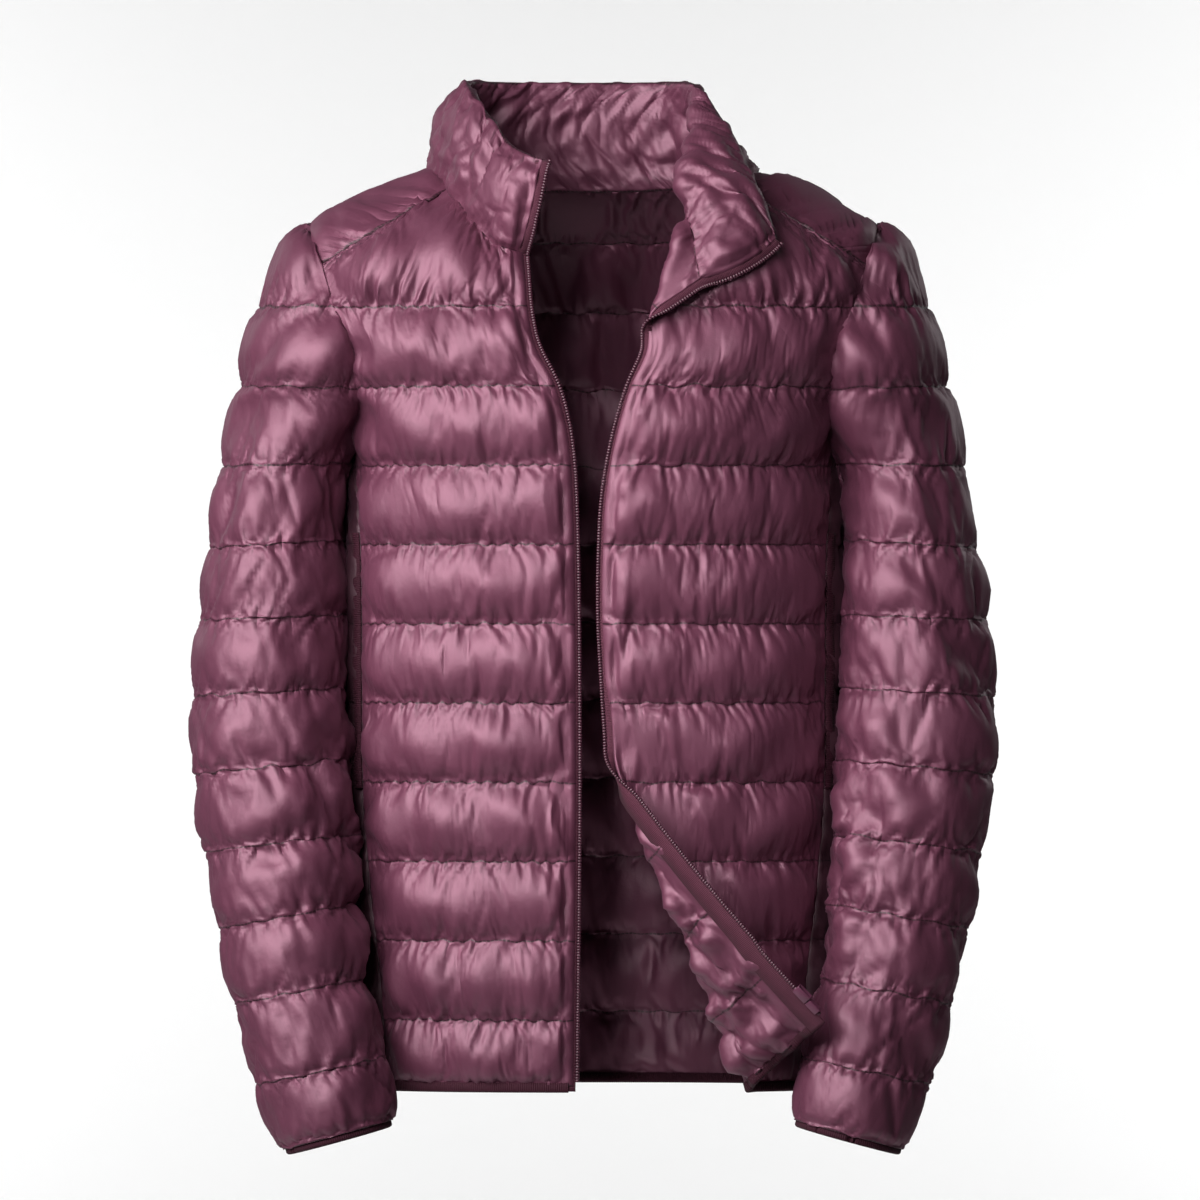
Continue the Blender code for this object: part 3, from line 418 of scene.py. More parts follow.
def row_lengths(mid):
    """Length along each row from its first column."""
    across = np.linalg.norm(np.diff(mid, axis=1), axis=-1)
    return np.concatenate([np.zeros((mid.shape[0], 1)), np.cumsum(across, 1)], 1)


# short, middling and long creases: reach into the channel (1 is all of it),
# spacing along the row, depth, half width
CREASE_SETS = [
    (0.22, 0.0070, 0.0013, 0.0017),
    (0.42, 0.0150, 0.0015, 0.0021),
    (1.00, 0.0700, 0.0009, 0.0032),
]


def creases(seed, along, phase, channel, lean, fan=None):
    """Depth of the creases that gather from the stitches of each channel.

    Short ones stand close together on every row of stitches; longer ones cross
    part of the channel, uneven in length, depth, lean and spacing.
    """
    rng = np.random.default_rng(seed)
    depth = np.zeros(along.shape)
    lowest, highest = float(along.min()), float(along.max())
    for number in range(int(channel.max()) + 1):
        inside = channel == number
        if not inside.any():
            continue
        u, p = along[inside], phase[inside]
        total = np.zeros(u.shape)
        drift = lean + rng.uniform(-0.12, 0.12)
        for start_low in (False, True):
            q = 1.0 - p if start_low else p
            way = -1.0 if start_low else 1.0
            for reach, gap, deep, wide in CREASE_SETS:
                at = lowest - 0.03
                while at < highest + 0.03:
                    at += gap * rng.uniform(0.35, 1.75)
                    size = rng.uniform(0.25, 1.3)
                    tilt = (drift + rng.normal(0.0, 0.30)) * ROW_PITCH * way
                    if fan is not None:
                        tilt += fan(at, number) * ROW_PITCH * way
                    length = reach * rng.uniform(0.5, 1.35)
                    width = wide * rng.uniform(0.7, 1.5)
                    sway = rng.uniform(-0.25, 0.25) * 0.012
                    d = u - at - tilt * q - sway * np.sin(q * 5.0)
                    near = np.abs(d) < width * 5.0
                    if not near.any():
                        continue
                    d, k = d[near] / width, q[near]
                    fade = np.clip(1.0 - k / length, 0.0, 1.0) ** 0.8 * np.clip(k / 0.04, 0.0, 1.0)
                    # a narrow valley between two low ridges
                    off = np.abs(d)
                    valley = -np.exp(-off ** 1.25) + 0.42 * np.exp(-(off - 1.9) ** 2 / 0.8)
                    total[near] += deep * size * fade * valley
        # slow swell and sag of the filling
        for _ in range(5):
            wave = rng.uniform(0.035, 0.11)
            slow = np.sin(2 * np.pi * u / wave + rng.uniform(0, 6.28) + 2.0 * p)
            total += 0.0009 * slow * np.sin(np.pi * p)
        depth[inside] = total
    return depth


def gathered(mid, along, seed):
    """The sheet with its rows drawn a little up and down, as gathered stitches lie."""
    rng = np.random.default_rng(seed)
    down = unit(np.gradient(mid, axis=0))
    shift = np.zeros(along.shape)
    for _ in range(7):
        wave = rng.uniform(0.009, 0.045)
        shift += 0.00028 * np.sin(2 * np.pi * along / wave + rng.uniform(0, 6.28)
                                  + 40.0 * mid[..., 2] * rng.uniform(0.5, 2.0))
    ends = np.ones(mid.shape[0])
    ends[[0, -1]] = 0.0
    return mid + down * (shift * ends[:, None])[..., None]


def linked(name, data):
    """A new object for a mesh, light or camera, linked to the scene."""
    obj = bpy.data.objects.new(name, data)
    bpy.context.scene.collection.objects.link(obj)
    return obj


def closed_wall(name, outer, inner, faces, material, along, off_row):
    """A closed piece from its outer and inner skins, with a rim between them.

    Also returns which of the skins' points it uses, and which of those are on the rim.
    """
    count = outer.reshape(-1, 3).shape[0]
    edges = {}
    for quad in faces.tolist():
        for a, b in zip(quad, quad[1:] + quad[:1]):
            if (b, a) in edges:
                del edges[(b, a)]
            else:
                edges[(a, b)] = True
    quads = faces.tolist() + (faces[:, ::-1] + count).tolist()
    quads += [(b, a, a + count, b + count) for a, b in edges]
    points = np.concatenate([outer.reshape(-1, 3), inner.reshape(-1, 3)])
    used = np.zeros(len(points), bool)
    used[np.array(quads).ravel()] = True
    number = np.cumsum(used) - 1
    mesh = bpy.data.meshes.new(name)
    mesh.from_pydata(points[used].tolist(), [], number[np.array(quads)].tolist())
    for key, values in (("along", along), ("off_row", off_row)):
        both = np.concatenate([values.ravel()] * 2)[used]
        layer = mesh.attributes.new(key, "FLOAT", "POINT")
        layer.data.foreach_set("value", both.astype(np.float32))
    mesh.update()
    mesh.shade_smooth()
    mesh.materials.append(material)
    obj = linked(name, mesh)
    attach(obj, "root")
    rim = np.zeros(len(points), bool)
    rim[np.array([a for a, _ in edges] + [a + count for a, _ in edges])] = True
    return obj, used, rim[used]


quilted = []
SAG = 1.18              # the filling sinks a little towards the lower row of a channel
START = 0.62            # share of the fill before the simulated cloth swells
SHARPEN = 0.45          # share of the creases' depth that is added to the settled cloth
NEAREST = 0.0009        # nearest that a skin settles to the mid surface
CREASED_TO = 0.0008     # nearest that a crease takes it
SWELL = 0.0030          # most that a skin swells past its fill
FRONT_FILL = (0.0078, 0.0055)   # most filling outside and inside the mid surface


def padded_piece(node, mid, faces, phase, channel, beside, out, into, seed, lean=0.0,
                 press=None, fan=None, along=None, crease=1.0, lift=0.0011, full=None,
                 spare=None, cloth=shell_nylon, crush=0.0):
    """A quilted piece round its mid surface: filled between stitches, and creased."""
    along = row_lengths(mid) if along is None else along
    mid = gathered(mid, along, seed + 7)
    normals = face_normals(mid, faces)
    if full is None:
        full = np.clip(np.sin(np.pi * phase ** SAG), 0.0, 1.0) ** 0.62
    full = full * beside
    edge = np.clip(beside * 2.5, 0.0, 1.0)
    if press is not None:
        full = full * (1.0 - 0.9 * press)
        edge = edge * (1.0 - 0.55 * press)
    skins, tops, sharp = [], [], []
    # outer and inner skin: way, least height, fill, lean of the creases, seed
    for sign, least, fill, turn, draw in (
            (1.0, lift, out, lean, seed),
            (-1.0, NEAREST, into, -lean, seed + 50)):
        height = least + START * fill * full
        depth = creases(draw, along, phase, channel, turn, fan) * edge * crease
        sharp.append(SHARPEN * depth + sign * crush)
        height = height + 0.6 * depth
        skins.append(mid + sign * normals * np.maximum(height, 0.0002)[..., None])
        room = SWELL * np.maximum(edge, 0.15)
        if spare is not None and sign < 0:
            room = room + SWELL * spare
        tops.append(least + fill * full + room)
    off_row = np.minimum(phase, 1.0 - phase) * ROW_PITCH
    obj, used, rim = closed_wall(node + "_quilted", *skins, faces, cloth, along, off_row)
    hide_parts(node)
    held = np.zeros(mid.shape[:2]) if press is None else press
    held = np.where(off_row < 0.0005, 1.0, held)
    spare = np.zeros(mid.shape[:2]) if spare is None else spare
    quilted.append({
        "piece": obj, "mid": np.concatenate([mid.reshape(-1, 3)] * 2)[used],
        "way": np.concatenate([normals.reshape(-1, 3), -normals.reshape(-1, 3)])[used],
        "top": np.concatenate([top.ravel() for top in tops])[used],
        "creases": np.concatenate([depth.ravel() for depth in sharp])[used],
        "held": np.maximum(np.concatenate([held.ravel()] * 2)[used], rim),
        "spare": np.concatenate([spare.ravel()] * 2)[used]})
    return skins[0], normals


def leaning(edge_lean, reach):
    """Lean of the creases near a free edge, less in the lower channels."""
    def lean(at, number):
        return edge_lean * max(0.0, 1.0 - max(at, 0.0) / reach) * (1.0 if number < 5 else 0.45)
    return lean


# creases of the turned lower corner, on the flat cloth: x z of both ends, half
# width, and height towards the lining (minus is a valley)
CORNER_CREASES = [
    (0.082, -0.528, 0.065, -0.547, 0.0035, -0.0040),
    (0.091, -0.579, 0.067, -0.596, 0.0035, -0.0042),
    (0.110, -0.603, 0.071, -0.598, 0.0050, 0.0035),
    (0.074, -0.620, 0.105, -0.641, 0.0050, 0.0040),
    (0.069, -0.504, 0.063, -0.527, 0.0030, -0.0030),
    (0.091, -0.547, 0.085, -0.573, 0.0040, 0.0032),
    (0.106, -0.605, 0.108, -0.644, 0.0040, -0.0030),
    (0.067, -0.518, 0.078, -0.523, 0.0040, 0.0025),
    (0.064, -0.573, 0.059, -0.599, 0.0035, 0.0022),
    (0.073, -0.626, 0.068, -0.642, 0.0035, -0.0030),
]


def hand_creases(flat, rows):
    """Heights of single creases along straight lines of the flat cloth."""
    height = np.zeros(flat.shape[:2])
    for x0, z0, x1, z1, width, high in rows:
        length = math.hypot(x1 - x0, z1 - z0)
        dx, dz = (x1 - x0) / length, (z1 - z0) / length
        far = ((flat[..., 0] - x0) * dx + (flat[..., 2] - z0) * dz) / length
        off = ((flat[..., 0] - x0) * dz - (flat[..., 2] - z0) * dx) / width
        ends = np.clip(np.minimum(far, 1.0 - far) * 3.0 + 0.6, 0.0, 1.0)
        height += high * ends * np.exp(-np.abs(off) ** 1.35)
    return height


def crumpled(first, second, seed, size, slope, count=6):
    """Height of crushed cloth over two lengths: flat facets between sharp creases."""
    rng = np.random.default_rng(seed)
    height = np.zeros(first.shape)
    for _ in range(count):
        turn, wave = rng.uniform(0.0, math.pi), size * rng.uniform(0.6, 1.5)
        place = first * math.cos(turn) + second * math.sin(turn)
        across = second * math.cos(turn) - first * math.sin(turn)
        place = place + 0.22 * wave * np.sin(across / wave * 2.1 + rng.uniform(0, 6.28))
        height += wave * slope * (np.abs((place / wave + rng.uniform()) % 1.0 - 0.5) - 0.25)
    return height


fronts = {}
for side, node in ((-1, "front_right"), (1, "front_left")):
    flat, row_at = front_sheet(side)
    phase, channel = channel_grid(row_at, FRONT_STITCHED, flat)
    mid, press = flat, None
    faces = facing_out(flat, grid_faces(*flat.shape[:2]), (0.0, 0.0, 0.0))
    if side > 0:
        press = np.maximum(rolled(flat, LAPEL_FOLD, 1.5), rolled(flat, CORNER_FOLD, 1.2))
        from_zip = np.clip((row_lengths(flat) - 0.013) / 0.012, 0.0, 1.0)
        in_corner = np.clip((past(flat, CORNER_FOLD) - 0.004) / 0.016, 0.0, 1.0)
        in_lapel = np.clip(past(flat, LAPEL_FOLD) / 0.010, 0.0, 1.0)
        crushed = in_corner * (0.8 * hand_creases(flat, CORNER_CREASES) + crumpled(
            flat[..., 0], flat[..., 2], 5, 0.024, 0.30, 4))
        crushed = crushed + in_lapel * crumpled(flat[..., 0], flat[..., 2], 6, 0.030, 0.20, 4)
        mid = turned(turned(flat, LAPEL_FOLD), CORNER_FOLD)
        mid = mid - face_normals(mid, faces) * (from_zip * crushed)[..., None]
    along = row_lengths(flat)
    width = along[:, -1:]
    tape_shows = 0.0045 * in_corner if side > 0 else 0.0
    beside = seam_rise(along - 0.0065 - tape_shows, 0.016)
    beside = beside * gentle_rise(width - along, 0.032) * bound_edge(flat)
    fronts[side] = (mid, face_normals(mid, faces))
    # small puckers that the zip's stitches draw in beside it
    drop = np.concatenate([np.zeros((1, along.shape[1])),
                           np.cumsum(np.linalg.norm(np.diff(flat, axis=0), axis=-1), 0)])
    beside_zip = np.clip(along / 0.020, 0.0, 0.999)
    puckers = 1.1 * creases(90 + side, drop, beside_zip, np.where(along < 0.020, 0, 9), 0.3) + 0.0007
    crush = puckers * np.clip(along / 0.002, 0.0, 1.0) * np.clip((0.020 - along) / 0.004, 0.0, 1.0)
    # the cloth's edge lies a little way over the zip's tape, where it isn't turned back
    over = 0.0026 * np.ones(len(mid))
    if side > 0:
        over *= np.clip((-0.115 - flat[:, 0, 2]) / 0.02, 0.0, 1.0)
        over *= np.clip((flat[:, 0, 2] + 0.400) / 0.02, 0.0, 1.0)
    covering = mid.copy()
    covering[:, 0] += unit(mid[:, 0] - mid[:, 2]) * over[:, None]
    # the turned corner and the lapel are crushed most
    spare = np.zeros(flat.shape[:2])
    if side > 0:
        spare = np.maximum(0.35 * in_corner, 0.25 * in_lapel)
        beside = beside * (1.0 - 0.55 * in_corner) * (1.0 - 0.35 * in_lapel)
        crush = crush + (in_corner + 0.5 * in_lapel) * from_zip * crumpled(
            flat[..., 0], flat[..., 2], 15, 0.012, 0.24, 4)
    padded_piece(
        node, covering, faces, phase, channel, beside, *FRONT_FILL, 11 + side, lean=0.22, press=press,
        fan=leaning(-1.1 if side < 0 else -0.5, 0.075), along=along, spare=spare,
        crease=np.where(channel == 0, 1.6, 1.0), crush=crush)


# ---------------------------------------------------------------- back
# One piece of quilted nylon from the hem up over both shoulders to the yoke
# seams on the chest, and round the back of the neck.
BACK_NECK = [(0.0, -0.0140), (0.030, -0.0136), (0.060, -0.0120), (0.100, -0.0040)]
# where the columns of half the back cross the first quilting row, and the mesh
# columns from there to the next
BACK_COLUMNS = [(0.0, 14), (0.034, 12), (0.064, 12), (0.094, 10), (0.118, 8), (0.136, 8),
                (0.156, 9), (0.177, 9), (0.1985, 0)]


def halved(test, low, high, steps=34):
    """Halve the range between low and high; test says where to keep looking."""
    low, high = np.array(low, float), np.array(high, float)
    for _ in range(steps):
        middle = (low + high) / 2.0
        up = test(middle)
        low, high = np.where(up, middle, low), np.where(up, high, middle)
    return low


def over_shoulder(x, y):
    """Points of the shoulder above x and y."""
    z = halved(lambda m: body_point(x, m, 1)[..., 1] > np.abs(y),
               np.full(x.shape, ROW_TOP), np.full(x.shape, SHOULDER_TOP))
    return np.stack([x, y, z], -1)


def armhole_reach(y):
    """Half width of the body's armhole edge where its depth is y."""
    def wide(z):
        return np.where(y < 0, reading(SIDE_SEAM, z, 1), reading(SIDE_SEAM, z, 2))
    z = halved(lambda m: body_point(wide(m), m, 1)[..., 1] > np.abs(y),
               np.full(y.shape, UNDERARM + 0.03), np.full(y.shape, SIDE_SEAM[0][0]))
    return wide(z)


def even_path(points, at):
    """Points of a path at the given shares of its length."""
    run = np.concatenate([[0.0], np.cumsum(np.linalg.norm(np.diff(points, axis=0), axis=1))])
    return np.stack([np.interp(np.array(at) * run[-1], run, points[:, k]) for k in range(3)], -1)


BACK_STITCHED = [0, 4] + list(range(6, 27, 2))
BACK_FILL = (0.0078, 0.0045)


def back_sheet():
    """Smooth mid surface of the back and its row stations."""
    half = [(x, z, 1) for x, z in BACK_NECK] + [(0.121, 0.0, 1)]
    half += [(x, z, -1) for x, z, _, _ in TOP_LEFT[-4:]]
    columns = []
    share = np.linspace(0.0, 1.0, 61)
    for (x_top, z_top, side), (x_foot, _) in zip(half, BACK_COLUMNS):
        head, foot = body_point(x_top, z_top, side), body_point(x_foot, ROW_TOP, 1)
        y = foot[1] + (head[1] - foot[1]) * (1.0 - np.cos(share * math.pi / 2.0))
        x = foot[0] + (head[0] - foot[0]) * (share if side > 0 else share ** 4)
        edge = armhole_reach(y)
        last = BACK_COLUMNS[-1][0]
        plain = last + (half[-1][0] - last) * share
        x = x * (1.0 + (edge / plain - 1.0) * np.minimum(1.0, x / plain) ** 3)
        path = over_shoulder(x, y)
        path[0], path[-1] = foot, head
        path = path[::-1]
        length = np.linalg.norm(np.diff(path, axis=0), axis=1).sum()
        line = 1.0 - ROW_PITCH / length
        at = [line * k / 4.0 for k in range(4)] + [line, (1.0 + line) / 2.0]
        columns.append(even_path(path, at))
    coarse = [np.array(row) for row in zip(*columns)]
    feet = np.array([x for x, _ in BACK_COLUMNS])
    for z in channel_levels():
        seam = reading(SIDE_SEAM, z, 2)
        reach = math.pi / 2.0 - turn_of(seam, z, 1)
        share = feet / feet[-1]
        bend = np.arcsin(share) / math.pi
        coarse.append(body_turn(z, math.pi / 2.0 - reach * (0.5 * share + bend)))
    coarse[6] = body_point(feet, ROW_TOP, 1)
    coarse = np.array(coarse)
    mirrored = coarse[:, :0:-1] * np.array([-1.0, 1.0, 1.0])
    coarse = np.concatenate([mirrored, coarse], 1)
    steps = [n for _, n in BACK_COLUMNS[:-1]]
    rows = stations([7] * 4 + [CHANNEL_STEPS // 2] * (len(coarse) - 5))
    rows = closer(rows, BACK_STITCHED)
    cols = stations(steps[::-1] + steps)
    return between(between(coarse, rows, 0), cols, 1), rows


mid, row_at = back_sheet()
phase, channel = channel_grid(row_at, BACK_STITCHED, mid)
along = row_lengths(mid)
beside = gentle_rise(np.minimum(along, along[:, -1:] - along), 0.026) * bound_edge(mid)
along = along - along[:, along.shape[1] // 2][:, None]
# the yoke over the shoulders is filled less
beside *= np.interp(row_at, [0.0, 3.5, 6.0], [0.42, 0.42, 1.0])[:, None]
yoke_crease = np.interp(row_at, [0.0, 3.5, 6.0], [2.0, 2.0, 1.0])[:, None]
back_faces = facing_out(mid, grid_faces(*mid.shape[:2]), (0.0, 0.0, 0.0))
_, back_normals = padded_piece(
    "back", mid, back_faces, phase, channel, beside, *BACK_FILL, 31, along=along, crease=yoke_crease)
back_mid = mid


# ---------------------------------------------------------------- side panels
# A narrow panel under each arm, filled less than the rest, of the same nylon in a much darker
# colour: painted shade for the deep shadow between each sleeve and the front.
shade_painted_side_nylon = downproof_nylon("plum_painted_shade_downproof_nylon", "30131E", "3A1A27", "1A070F", 0.08)
SIDE_SHARES = [0.0, 0.16, 0.5, 0.84, 1.0]      # of the way round, from front to back
SIDE_FILL = (0.0040, 0.0035)
side_sheets = {}
for side, node in ((-1, "side_right"), (1, "side_left")):
    levels = [UNDERARM - 0.004] + [z for z in channel_levels() if z < UNDERARM - 0.01]
    coarse = []
    for z in levels:
        start = turn_of(side * reading(SIDE_SEAM, z), z, -1)
        end = turn_of(side * reading(SIDE_SEAM, z, 2), z, 1)
        if side < 0:
            end = end - 2.0 * math.pi
        coarse.append(body_turn(z, start + (end - start) * np.array(SIDE_SHARES)))
    row_at = stations([4] + [CHANNEL_STEPS // 2] * (len(levels) - 2))
    stitched = [0] + list(range(1, len(levels), 2))
    row_at = closer(row_at, stitched)
    mid = between(between(np.array(coarse), row_at, 0), stations([4, 7, 7, 4]), 1)
    phase, channel = channel_grid(row_at, stitched, mid)
    along = row_lengths(mid)
    to_edge = np.minimum(along, along[:, -1:] - along)
    beside = 0.75 * seam_rise(to_edge, 0.018) * bound_edge(mid)
    faces = facing_out(mid, grid_faces(*mid.shape[:2]), (0.0, 0.0, 0.0))
    # the side panels take the darkened nylon, which is painted shade
    outer, normals = padded_piece(
        node, mid, faces, phase, channel, beside, *SIDE_FILL, 41 + side, crease=0.7,
        cloth=shade_painted_side_nylon, lift=0.0011 + 0.0019 * np.clip(to_edge / 0.012, 0.0, 1.0))
    side_sheets[side] = (mid, normals, outer)


# ---------------------------------------------------------------- sleeves
# Two tubes of quilted nylon with a shaped cap, one seam under the arm.
# height at the middle, centre x, centre y, half width, half depth, drop outside
SLEEVE = [
    (-0.2206, 0.2315, -0.014, 0.0445, 0.0730, 0.001),
    (-0.2789, 0.2370, -0.034, 0.0470, 0.0670, 0.003),
    (-0.3330, 0.2398, -0.044, 0.0515, 0.0640, 0.002),
    (-0.3880, 0.2433, -0.055, 0.0530, 0.0605, 0.003),
    (-0.4430, 0.2405, -0.066, 0.0550, 0.0575, 0.005),
    (-0.4990, 0.2330, -0.078, 0.0540, 0.0545, 0.006),
    (-0.5530, 0.2259, -0.090, 0.0512, 0.0515, 0.008),
    (-0.6080, 0.2165, -0.103, 0.0485, 0.0485, 0.008),
    (-0.6660, 0.2005, -0.116, 0.0485, 0.0455, 0.009),
    (-0.7125, 0.1878, -0.1249, 0.0419, 0.0405, 0.0101),
]
# cap levels: height, outer reach, centre x, half depth, arc half angle
CAP = [
    (-0.0466, 0.2190, 0.1960, 0.0230, 90.0), (-0.0600, 0.2340, 0.1980, 0.0480, 90.0),
    (-0.0780, 0.2425, 0.2000, 0.0640, 92.0), (-0.1040, 0.2500, 0.2050, 0.0770, 96.0),
    (-0.1240, 0.2548, 0.2100, 0.0830, 104.0), (-0.1430, 0.2585, 0.2150, 0.0860, 116.0),
    (-0.1623, 0.2625, 0.2200, 0.0840, 132.0), (-0.1830, 0.2670, 0.2250, 0.0790, 150.0),
]
SLEEVE_COLUMNS = 14
SLEEVE_FILL = 0.005     # the tables give outside sizes; the mid surface is this much less
SLEEVE_CROSS = 10       # mesh columns for each of those
SLEEVE_STITCHED = [0, 4, 7] + list(range(9, 28, 2))
SLEEVE_PADDING = (0.0034, 0.0040)       # most filling outside and inside the mid surface


def sleeve_ring(z, cx, cy, half_w, half_d, drop, limit=180.0):
    """Points round the arm from the back seam, over the outside, to the front."""
    k = np.arange(SLEEVE_COLUMNS)
    share = -1.0 + 2.0 * (k + 0.5) / SLEEVE_COLUMNS if limit >= 180.0 else (
        -1.0 + 2.0 * k / (SLEEVE_COLUMNS - 1))
    angle = math.radians(limit) * share
    return np.stack([cx + (half_w - SLEEVE_FILL) * np.cos(angle),
                     cy - (half_d - SLEEVE_FILL) * np.sin(angle),
                     z - drop * np.cos(angle)], -1)


def sleeve_sheet():
    """Smooth mid surface of the wearer's left sleeve; its last columns are the seam strip."""
    coarse = []
    last = SLEEVE_COLUMNS - 1
    share = np.linspace(-1.0, 1.0, SLEEVE_COLUMNS)[:, None]
    for z, reach, cx, half_d, limit in CAP:
        ring = sleeve_ring(z, cx, -0.003, reach - cx, half_d, 0.0, limit)
        clear = np.array([-0.0022, 0.0, 0.0])
        back_end = body_point(reading(SIDE_SEAM, z, 2), z, 1) + clear
        front_end = body_point(reading(SIDE_SEAM, z, 1), z, -1) + clear
        pull = np.where(share < 0, back_end - ring[0], front_end - ring[-1])
        ring = ring + pull * np.abs(share) ** 3
        floor = back_end[0] + (front_end[0] - back_end[0]) * (share[:, 0] + 1.0) / 2.0
        ring[:, 0] = np.maximum(ring[:, 0], floor)
        coarse.append(even_path(ring, np.linspace(0.0, 1.0, SLEEVE_COLUMNS)))
    # the crown of the cap lies on the end of the shoulder
    crown = coarse[0] * np.array([0.0, 0.62, 0.0]) + np.array([0.2088, 0.0, -0.0420])
    coarse.insert(0, crown)
    cap_rows = len(coarse)
    for upper, lower in zip(SLEEVE, SLEEVE[1:]):
        for share_down in (0.0, 0.5):
            coarse.append(sleeve_ring(*[a + (b - a) * share_down for a, b in zip(upper, lower)]))
    coarse.append(sleeve_ring(*SLEEVE[-1]))
    coarse = np.array(coarse)
    tube = coarse[cap_rows:]
    closed = np.concatenate([tube[:, -1:], tube, tube[:, :2]], 1)
    cap = coarse[:cap_rows]
    opened = np.concatenate([2 * cap[:, :1] - cap[:, 1:2], cap, 2 * cap[:, -1:] - cap[:, -2:-1],
                             3 * cap[:, -1:] - 2 * cap[:, -2:-1]], 1)
    padded = np.concatenate([opened, closed])
    cols = stations([SLEEVE_CROSS] * SLEEVE_COLUMNS)[:-1]
    wide = between(padded, cols + 1.0, 1)
    strip = last * SLEEVE_CROSS + 1
    wide[cap_rows - 1, strip:] = 2 * wide[cap_rows, strip:] - wide[cap_rows + 1, strip:]
    rows = stations([5] * (cap_rows - 1) + [9] + [CHANNEL_STEPS // 2] * (len(tube) - 1))
    rows = closer(rows, SLEEVE_STITCHED)
    fine = between(wide, rows, 0)
    # the tube is sewn to the foot of the armhole, and rests against the side
    axis = fine[:, :strip, 0].max(1, keepdims=True) - 0.047
    inward = np.clip((axis - fine[..., 0]) / 0.045, 0.0, 1.0)
    under = np.exp(-((fine[..., 2] + 0.212) / 0.024) ** 2)
    below = 1.0 / (1.0 + np.exp((fine[..., 2] + 0.215) / 0.010))
    low = 1.0 / (1.0 + np.exp(-(fine[..., 2] + 0.47) / 0.03))
    fine[..., 0] -= inward ** 1.5 * (0.0130 * under + 0.0080 * below * low)
    fine[..., 2] += inward ** 1.5 * 0.005 * under
    return fine, rows, 5 * (cap_rows - 1) + 9, strip


sleeve_mid, row_at, tube_from, strip = sleeve_sheet()
phase, channel = channel_grid(row_at, SLEEVE_STITCHED, sleeve_mid)
faces_left = grid_faces(*sleeve_mid.shape[:2], wrap_from=tube_from,
                        seam_cols=SLEEVE_COLUMNS * SLEEVE_CROSS - strip)
beside = np.ones(sleeve_mid.shape[:2])
cap_along = row_lengths(sleeve_mid[:, :strip])
beside[:tube_from, :strip] = gentle_rise(
    np.minimum(cap_along, cap_along[:, -1:] - cap_along), 0.022)[:tube_from]
beside = beside * bound_edge(sleeve_mid)
# lengths along a row are measured from the outside of the arm
sleeve_along = row_lengths(sleeve_mid)
sleeve_along -= sleeve_along[:, strip // 2][:, None]
beside[:4 * 5] = np.maximum(beside[:4 * 5], 0.25)
# 0 on the front inside of the arm, 1 on its outside
inner_side = np.clip((sleeve_mid[..., 0] - sleeve_mid[..., 0].min(1, keepdims=True)) / 0.075, 0.0, 1.0)
sleeves = {}
for side, node in ((-1, "sleeve_right"), (1, "sleeve_left")):
    mid = sleeve_mid * np.array([side, 1.0, 1.0])
    tube_centre = np.broadcast_to(mid[:, :strip].mean(1, keepdims=True), mid.shape)
    faces = faces_left if side > 0 else faces_left[:, ::-1]
    test = (face_normals(mid, faces) * (mid - tube_centre))[tube_from:].sum()
    faces = faces if test > 0 else faces[:, ::-1]
    # the inside of the elbow is crushed into facets
    elbow = np.exp(-((mid[..., 2] + 0.50) / 0.11) ** 2) * np.clip(0.9 - inner_side, 0.0, 1.0)
    above_cuff = np.clip((mid[..., 2] - mid[-1, :, 2]) / 0.04, 0.0, 1.0)
    folds = crumpled(sleeve_along, mid[..., 2], 8 + side, 0.036, 0.20, 4)
    mid = mid + face_normals(mid, faces) * (above_cuff * (0.08 + elbow) * folds)[..., None]
    _, normals = padded_piece(
        node, mid, faces, phase, channel, beside, *SLEEVE_PADDING, 61 + side, lean=0.2 * side,
        lift=0.0034, crease=1.25, along=sleeve_along,
        crush=above_cuff * elbow * crumpled(sleeve_along, mid[..., 2], 18 + side, 0.017, 0.22, 4))
    sleeves[side] = (mid, normals)


